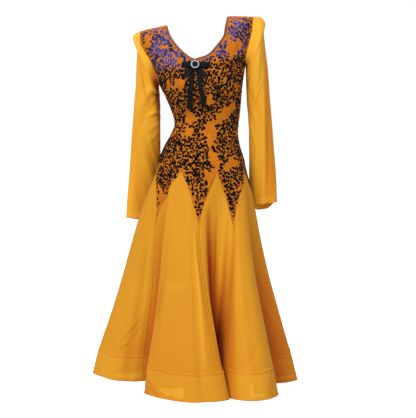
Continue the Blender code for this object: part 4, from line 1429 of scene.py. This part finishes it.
class Sprays:
    """Stems, as lists of heading and level, and leaves, as heading, level, direction, length and width."""

    def __init__(self, bare, chance):
        self.bare = bare
        self.chance = chance
        self.cells = {}
        self.stems = []
        self.leaves = []

    def is_bare(self, place):
        for x, z, half_width, half_height, slant in self.bare:
            across = place[0] - x
            upward = place[2] - z
            turn = math.radians(slant)
            wide = across * math.cos(turn) + upward * math.sin(turn)
            high = upward * math.cos(turn) - across * math.sin(turn)
            if (wide / half_width) ** 2 + (high / half_height) ** 2 < 1:
                return True
        return False

    def cell(self, place):
        return tuple(math.floor(value / LEAF_APART) for value in place)

    def has_room(self, place, distance):
        """Whether no leaf is nearer than the distance and the cloth isn't left bare there."""
        reach = math.ceil(distance / LEAF_APART)
        spans = [range(middle - reach, middle + reach + 1) for middle in self.cell(place)]
        for cell in itertools.product(*spans):
            if any(math.dist(other, place) < distance for other in self.cells.get(cell, ())):
                return False
        return not self.is_bare(place)

    def grow(self, outline):
        """Starts a spray at places all over the outline, in a mixed order, wherever there is still room."""
        chance = self.chance
        low_h, low_z = outline.min(0)
        high_h, high_z = outline.max(0)
        starts = []
        z = low_z
        while z < high_z:
            h = low_h
            while h < high_h:
                starts.append((h + chance.uniform(-2, 2), z + chance.uniform(-3, 3)))
                h += START_STEP / 2.2
            z += START_STEP
        starts = [start for start, good in zip(starts, inside(outline, *np.array(starts).T)) if good]
        chance.shuffle(starts)
        for start in starts:
            if self.has_room(mapped(*start)[0], BARE_RADIUS):
                turn = chance.uniform(20, 160)
                self.add_stem(start, turn, chance.randint(*MAIN_NODES), True)

    def add_stem(self, start, turn, nodes, has_twigs):
        """A bent stem with leaves on both sides and one at its end, and with twigs at every second node."""
        chance = self.chance
        bend = chance.uniform(-STEM_BEND, STEM_BEND)
        line = [start]
        for node in range(nodes):
            ahead = stepped(*line[-1], turn, STEM_STEP * chance.uniform(0.85, 1.15))
            if self.is_bare(mapped(*ahead)[0]):
                break
            line.append(ahead)
            turn += bend + chance.uniform(-5, 5)
            for side in (-1, 1):
                self.add_leaf(ahead, turn + side * chance.uniform(35, 68))
            if has_twigs and node % 2 == 1:
                away = turn + (-1) ** (node // 2) * chance.uniform(42, 66)
                self.add_stem(ahead, away, chance.randint(*TWIG_NODES), False)
        self.add_leaf(line[-1], turn)
        if len(line) > 1:
            self.stems.append(line)

    def add_leaf(self, start, lean):
        """A leaf that starts at the stem, where there is room for it."""
        length = self.chance.uniform(*LEAF_LENGTH)
        width = length * self.chance.uniform(*LEAF_WIDTH)
        middle = stepped(*start, lean, length * 0.5 + LEAF_OFF_STEM)
        place, _ = mapped(*middle)
        if self.has_room(place, LEAF_APART):
            self.cells.setdefault(self.cell(place), []).append(place)
            self.leaves.append((*middle, lean, length, width))


def pile_tone(points, variation):
    """How blue the pile looks: on the shoulders and the upper chest, where light catches it."""
    x = points[:, 0]
    z = points[:, 2]
    lowest = mix(-178, -134, np.clip((x + 60) / 170, 0, 1))
    high = np.clip((z - lowest) / 34, 0, 1)
    arm = np.clip((x + 168) / 40, 0.25, 1) * np.clip((166 - x) / 40, 0.3, 1)
    patch = np.clip(0.75 + 0.5 * np.sin(x * 0.071 + 1.3) * np.sin(z * 0.083 + 0.4), 0, 1)
    return np.clip(high * arm * patch * (0.75 + 0.5 * variation), 0, 1)


def leaf_frames(leaves):
    """Centre, outward, ahead and sideways directions of each leaf."""
    points, directions = skin(leaves[:, 0], leaves[:, 1])
    across = body(leaves[:, 0] + 0.5, leaves[:, 1]) - body(leaves[:, 0] - 0.5, leaves[:, 1])
    across = unit(across - directions * (across * directions).sum(-1, keepdims=True))
    upward = np.cross(across, directions)
    upward = upward * np.sign(upward[:, 2:3])
    lean = np.radians(leaves[:, 2])[:, None]
    ahead = across * np.cos(lean) + upward * np.sin(lean)
    return points, directions, ahead, np.cross(directions, ahead)


def fitting_leaves(outline, leaves):
    """The leaves that lie wholly on the panel. One that doesn't fit is made smaller, or left out."""
    leaves = np.array(leaves)
    per_degree = np.array([mapped(h, z)[1] for h, z in leaves[:, :2]])
    size = np.zeros(len(leaves))
    for scale in (0.5, 0.75, 1.0):
        keep = np.ones(len(leaves), bool)
        for share, turn in ((0.5, 0), (0.5, 180), (0.28, 90), (0.28, -90)):
            angle = np.radians(leaves[:, 2] + turn)
            reach = leaves[:, 3] * share * scale
            h = leaves[:, 0] + reach * np.cos(angle) / per_degree
            keep &= inside(outline, h, leaves[:, 1] + reach * np.sin(angle))
        size = np.where(keep, scale, size)
    leaves[:, 3:5] *= size[:, None]
    return leaves[size > 0]


def leaf_forms(leaves, chance):
    """Points, faces and tones of the leaves: an outline on the cloth and a smaller one on top of the pile."""
    points, directions, ahead, aside = leaf_frames(leaves)
    variation = np.array([chance.random() for _ in leaves])
    corners = []
    for scale, height in ((1.0, FLOCK_FOOT), (FLOCK_TOP_SCALE, FLOCK_HEIGHT)):
        for ahead_share, aside_share in LEAF_OUTLINE:
            place = points + directions * height + ahead * leaves[:, 3:4] * (ahead_share - 0.5) * scale
            corners.append(place + aside * leaves[:, 4:5] * aside_share * scale)
    sides = len(LEAF_OUTLINE)
    stacks = np.stack(corners, 1).reshape(-1, 2, sides, 3)
    tone = np.repeat(pile_tone(points, variation), 2 * sides)
    return *repeated(stacks, stack_faces(2, sides, (False, True))), tone


def stem_form(line):
    """Points, faces and tones of a thin stem with a three-sided section, laid on the cloth."""
    fine = np.linspace(0, len(line) - 1, 2 * len(line) - 1)
    points, directions = skin(*(np.interp(fine, np.arange(len(line)), line[:, k]) for k in (0, 1)))
    ahead = unit(np.gradient(points, axis=0))
    aside = np.cross(directions, ahead) * np.linspace(*STEM_WIDTH, len(points))[:, None]
    foot = points - directions * STEM_FOOT
    corners = (foot + aside, points + directions * STEM_HEIGHT, foot - aside)
    tone = np.repeat(pile_tone(points, np.zeros(len(points))), 3)
    return np.stack(corners, 1).reshape(-1, 3), stack_faces(len(points), 3), tone


def make_flock():
    chance = random.Random(FLOCK_SEED)
    for panel in PANELS:
        outline = panel_outline(panel)
        sprays = Sprays(panel.bare, chance)
        sprays.grow(outline)
        forms = [leaf_forms(fitting_leaves(outline, sprays.leaves), chance)]
        for line in map(np.array, sprays.stems):
            within = inside(outline, line[:, 0], line[:, 1])
            last = len(line) if within.all() else int(np.argmin(within))
            if last > 1:
                forms.append(stem_form(line[:last]))
        faces = []
        count = 0
        for points, form_faces, _ in forms:
            faces += moved(form_faces, count)
            count += len(points)
        points = np.concatenate([form[0] for form in forms])
        tone = np.concatenate([form[2] for form in forms])
        made = normals_out(new_piece("flock_" + panel.name, points, faces, tone=tone))
        finish_piece(made, FLOCK, "bodice")


# Bow and brooch


def bow_frame():
    """Middle of the bow on the bodice, and the outward, sideways and upward directions there."""
    points, normals = chest_place([BOW_X], [BOW_Z], 1)
    across = np.array([1.0, 0.0, 0.0])
    upward = unit(np.cross(normals[0], across))
    across = unit(across - normals[0] * across.dot(normals[0]))
    return points[0], normals[0], across, upward * np.sign(upward[2])


BOW_PLACE, BOW_OUT, BOW_ACROSS, BOW_UP = bow_frame()


def spoke(angle):
    """Direction at an angle round the bow's axis."""
    angle = np.asarray(angle)[..., None]
    return BOW_ACROSS * np.cos(angle) + BOW_UP * np.sin(angle)


def to_front(places):
    return np.array([0.0, -1.0, 0.0]) + 0 * places


def ribbon_strip(node, path, width, cut):
    """A flat ribbon with a slightly curled section. cut gives how far its end's two corners are cut back."""
    table = np.column_stack([np.arange(len(path)), np.array(path, float)])
    fine = curve(table, np.linspace(0, len(path) - 1, STRIP_ROWS))
    points, normals = chest_place(fine[:, 0], fine[:, 1], 1)
    points = points + normals * fine[:, 2:3]
    ahead = unit(np.gradient(points, axis=0))
    aside = unit(np.cross(ahead, normals))
    facing = unit(np.cross(aside, ahead))
    facing = facing * np.sign((facing * normals).sum(-1, keepdims=True))
    across = np.linspace(-1, 1, STRIP_COLUMNS)
    share = np.linspace(0, 1, STRIP_ROWS)[:, None]
    curl = 0.5 * across**2 + 0.35 * np.sin(share * 7 + across * 1.5)
    back = mix(*cut, (across + 1) / 2) * np.clip((share - 0.7) / 0.3, 0, 1)
    grid = points[:, None, :] + aside[:, None, :] * (across[:, None] * width / 2)
    grid = grid + facing[:, None, :] * curl[..., None] - ahead[:, None, :] * back[..., None]
    cloth = np.stack(np.broadcast_arrays(across * width / 2, share * travelled(points)[-1]), -1)
    grids = [(grid, cloth, False)]
    cloth_shell(node, "_ribbon", grids, to_front, RIBBON_WALL, RIBBON, "ribbon", offset=0.0)


def ribbon_loop(node, sign, length):
    """A ribbon loop, gathered into pleats where the knot holds it."""
    angle = math.pi * (0.03 + 1.94 * np.linspace(0, 1, LOOP_ROWS))
    reach = LOOP_NEAR + (length - LOOP_NEAR) * (1 - np.cos(angle)) / 2
    away = (reach - LOOP_NEAR) / (length - LOOP_NEAR)
    swell = 0.86 + 0.3 * np.sin(np.pi * np.clip(away * 0.85 + 0.08, 0, 1))
    off = LOOP_OFF - 0.6 + LOOP_BELLY * np.sin(angle) - 0.0011 * reach**2
    middle = BOW_PLACE + BOW_ACROSS * (sign * reach)[:, None] + BOW_OUT * off[:, None]
    outward = BOW_ACROSS * (-sign * np.cos(angle) * 0.35)[:, None] + BOW_OUT * np.sin(angle)[:, None]
    high = np.linspace(-1, 1, LOOP_COLUMNS)
    lengths = travelled(middle)[:, None]
    pleats = 0.55 * np.cos(high * math.pi * 2.5) * ((1 - away) ** 2)[:, None]
    ribs = LOOP_RIB * np.sin(lengths * 2 * math.pi / LOOP_RIB_STEP)
    grid = middle[:, None, :] + BOW_UP * (high * (LOOP_HEIGHT / 2 * swell)[:, None])[..., None]
    grid = grid + unit(outward)[:, None, :] * (pleats + ribs)[..., None]
    cloth = np.stack(np.broadcast_arrays(high * LOOP_HEIGHT / 2, lengths), -1)
    centre = middle.mean(0)
    grids = [(grid, cloth, False)]
    cloth_shell(node, "_ribbon", grids, lambda places: places - centre, RIBBON_WALL, RIBBON, "ribbon")


def round_form(name, profile, sides, wave=0.0, waves=0):
    """A round form on the bow's axis, from radius and distance off the bodice, wavy where asked."""
    angles = np.linspace(0, 2 * math.pi, sides, endpoint=False)
    radius, off = np.array(profile).T[..., None]
    grown = radius + wave * np.cos(waves * angles)
    grid = BOW_PLACE + spoke(angles) * grown[..., None] + BOW_OUT * off[..., None]
    cloth = np.stack(np.broadcast_arrays(angles * 9, off), -1).reshape(-1, 2)
    faces = stack_faces(len(profile), sides)
    return normals_out(new_piece(name, grid.reshape(-1, 3), faces, cloth, smooth=True))


def stone_faces():
    """Triangles of a cut stone between its rings, which are shifted by half a side, and its top and foot."""
    faces = []
    for number, (here, here_after, there_after, there) in enumerate(grid_faces(4, STONE_SIDES, True)):
        if number // STONE_SIDES == 1:
            faces += [(here, there, here_after), (there, there_after, here_after)]
        else:
            faces += [(here, there, there_after), (here, there_after, here_after)]
    return [*faces, tuple(range(STONE_SIDES)), tuple(reversed(range(3 * STONE_SIDES, 4 * STONE_SIDES)))]


def make_stones():
    """Cut stones in a ring, in one mesh: a flat table, a girdle and a pointed foot each."""
    centres = BOW_PLACE + spoke(2 * math.pi * (np.arange(STONES) + 0.5) / STONES) * STONE_RING
    levels = []
    for radius, off, turn in STONE_LEVELS:
        corners = spoke(2 * math.pi * (np.arange(STONE_SIDES) + turn) / STONE_SIDES) * STONE_RADIUS * radius
        levels.append(centres[:, None, :] + corners + BOW_OUT * (STONE_FOOT + off))
    made = normals_out(new_piece("brooch_stones", *repeated(np.stack(levels, 1), stone_faces())))
    finish_piece(made, STONE, "clear_stones", "brooch_rim")


def make_claws():
    """Small claws between the stones, outside and inside of their ring, in one mesh."""
    turns = np.repeat(2 * math.pi * np.arange(STONES) / STONES, 2)
    radii = np.tile([STONE_RING + CLAW_REACH, STONE_RING - CLAW_REACH], STONES)
    centres = BOW_PLACE + spoke(turns) * radii[:, None]
    corners = spoke(turns[:, None] + 2 * math.pi * np.arange(CLAW_SIDES) / CLAW_SIDES)
    levels = [centres[:, None, :] + corners * size + BOW_OUT * off for size, off in CLAW_LEVELS]
    template = stack_faces(len(CLAW_LEVELS), CLAW_SIDES)
    made = normals_out(new_piece("brooch_claws", *repeated(np.stack(levels, 1), template)))
    finish_piece(made, METAL, "clear_stones")


def make_bow():
    for node, path, width, cut in STRIPS:
        ribbon_strip(node, path, width, cut)
    for node, sign, length in LOOPS:
        ribbon_loop(node, sign, length)
    finish_piece(round_form("bow_knot_ribbon", KNOT, 40, 0.25, 9), RIBBON, "ribbon", "bow_knot")
    finish_piece(round_form("brooch_plate", PLATE, 96, 0.35, STONES), METAL, "clear_stones")
    finish_piece(round_form("brooch_centre_stone", DOME, 48), BLACK_STONE, "black_stone", "brooch_centre")
    make_stones()
    make_claws()


# Floor, light and camera

CAMERA_PLACE = (0.033, -3.6, -0.295)
CAMERA_AIM = (0.033, 0.0, -0.622)
CAMERA_LENS = 94.3
CAMERA_SENSOR = 36.0
FLOOR_Z = -1700.0
FLOOR_REACH = 40000.0
SKY_FOR_LIGHT = 0.56
LAMP_AIM = (0.0, 0.0, -0.6)

# Lamps. Columns: name, kind, place in metres, strength, and width: degrees of a sun, metres of an area
LAMPS = (
    ("key", "SUN", (-1.6, -3.4, 2.0), 2.45, 35.0),
    ("top", "SUN", (0.0, 0.4, 3.0), 0.9, 60.0),
    ("fill", "AREA", (2.6, -2.8, 0.2), 12.0, 2.6),
    ("back fill", "AREA", (1.4, 3.4, 0.4), 30.0, 3.0),
)


def aim(made, place, target):
    made.location = place
    made.rotation_euler = (Vector(target) - Vector(place)).to_track_quat("-Z", "Y").to_euler()


def make_floor():
    corners = np.array([(x, y, FLOOR_Z / FLOOR_REACH) for x, y in ((-1, -1), (1, -1), (1, 1), (-1, 1))])
    floor = new_piece("floor", corners * FLOOR_REACH, [(0, 1, 2, 3)])
    look = Look("pale floor", colour=(0.96, 0.96, 0.96, 1.0), roughness=0.9, specular=0.1)
    floor.data.materials.append(look.material)
    floor.visible_diffuse = False


def make_sky():
    """A white backdrop that lights the dress less than it shows."""
    world = bpy.data.worlds.new("studio")
    world.use_nodes = True
    nodes = world.node_tree.nodes
    links = world.node_tree.links
    sky = nodes["Background"]
    sky.inputs["Color"].default_value = (1.0, 1.0, 1.0, 1.0)
    rays = nodes.new("ShaderNodeLightPath")
    strength = nodes.new("ShaderNodeMapRange")
    strength.inputs["To Min"].default_value = SKY_FOR_LIGHT
    strength.inputs["To Max"].default_value = 1.0
    links.new(rays.outputs["Is Camera Ray"], strength.inputs["Value"])
    links.new(strength.outputs["Result"], sky.inputs["Strength"])
    bpy.context.scene.world = world


def make_lamps():
    for name, kind, place, strength, width in LAMPS:
        light = bpy.data.lights.new(name, kind)
        light.energy = strength
        if kind == "SUN":
            light.angle = math.radians(width)
        else:
            light.size = width
        aim(linked(name, light), place, LAMP_AIM)


def make_camera():
    camera = bpy.data.cameras.new("camera")
    camera.lens = CAMERA_LENS
    camera.sensor_width = CAMERA_SENSOR
    holder = linked("camera", camera)
    aim(holder, CAMERA_PLACE, CAMERA_AIM)
    bpy.context.scene.camera = holder
    bpy.context.scene.view_settings.view_transform = "Standard"
    bpy.context.scene.view_settings.look = "None"


def make_stage():
    make_floor()
    make_sky()
    make_lamps()
    make_camera()


def main():
    make_stage()
    make_bodice()
    make_skirt()
    make_sleeves()
    make_binding()
    make_flock()
    make_bow()


main()
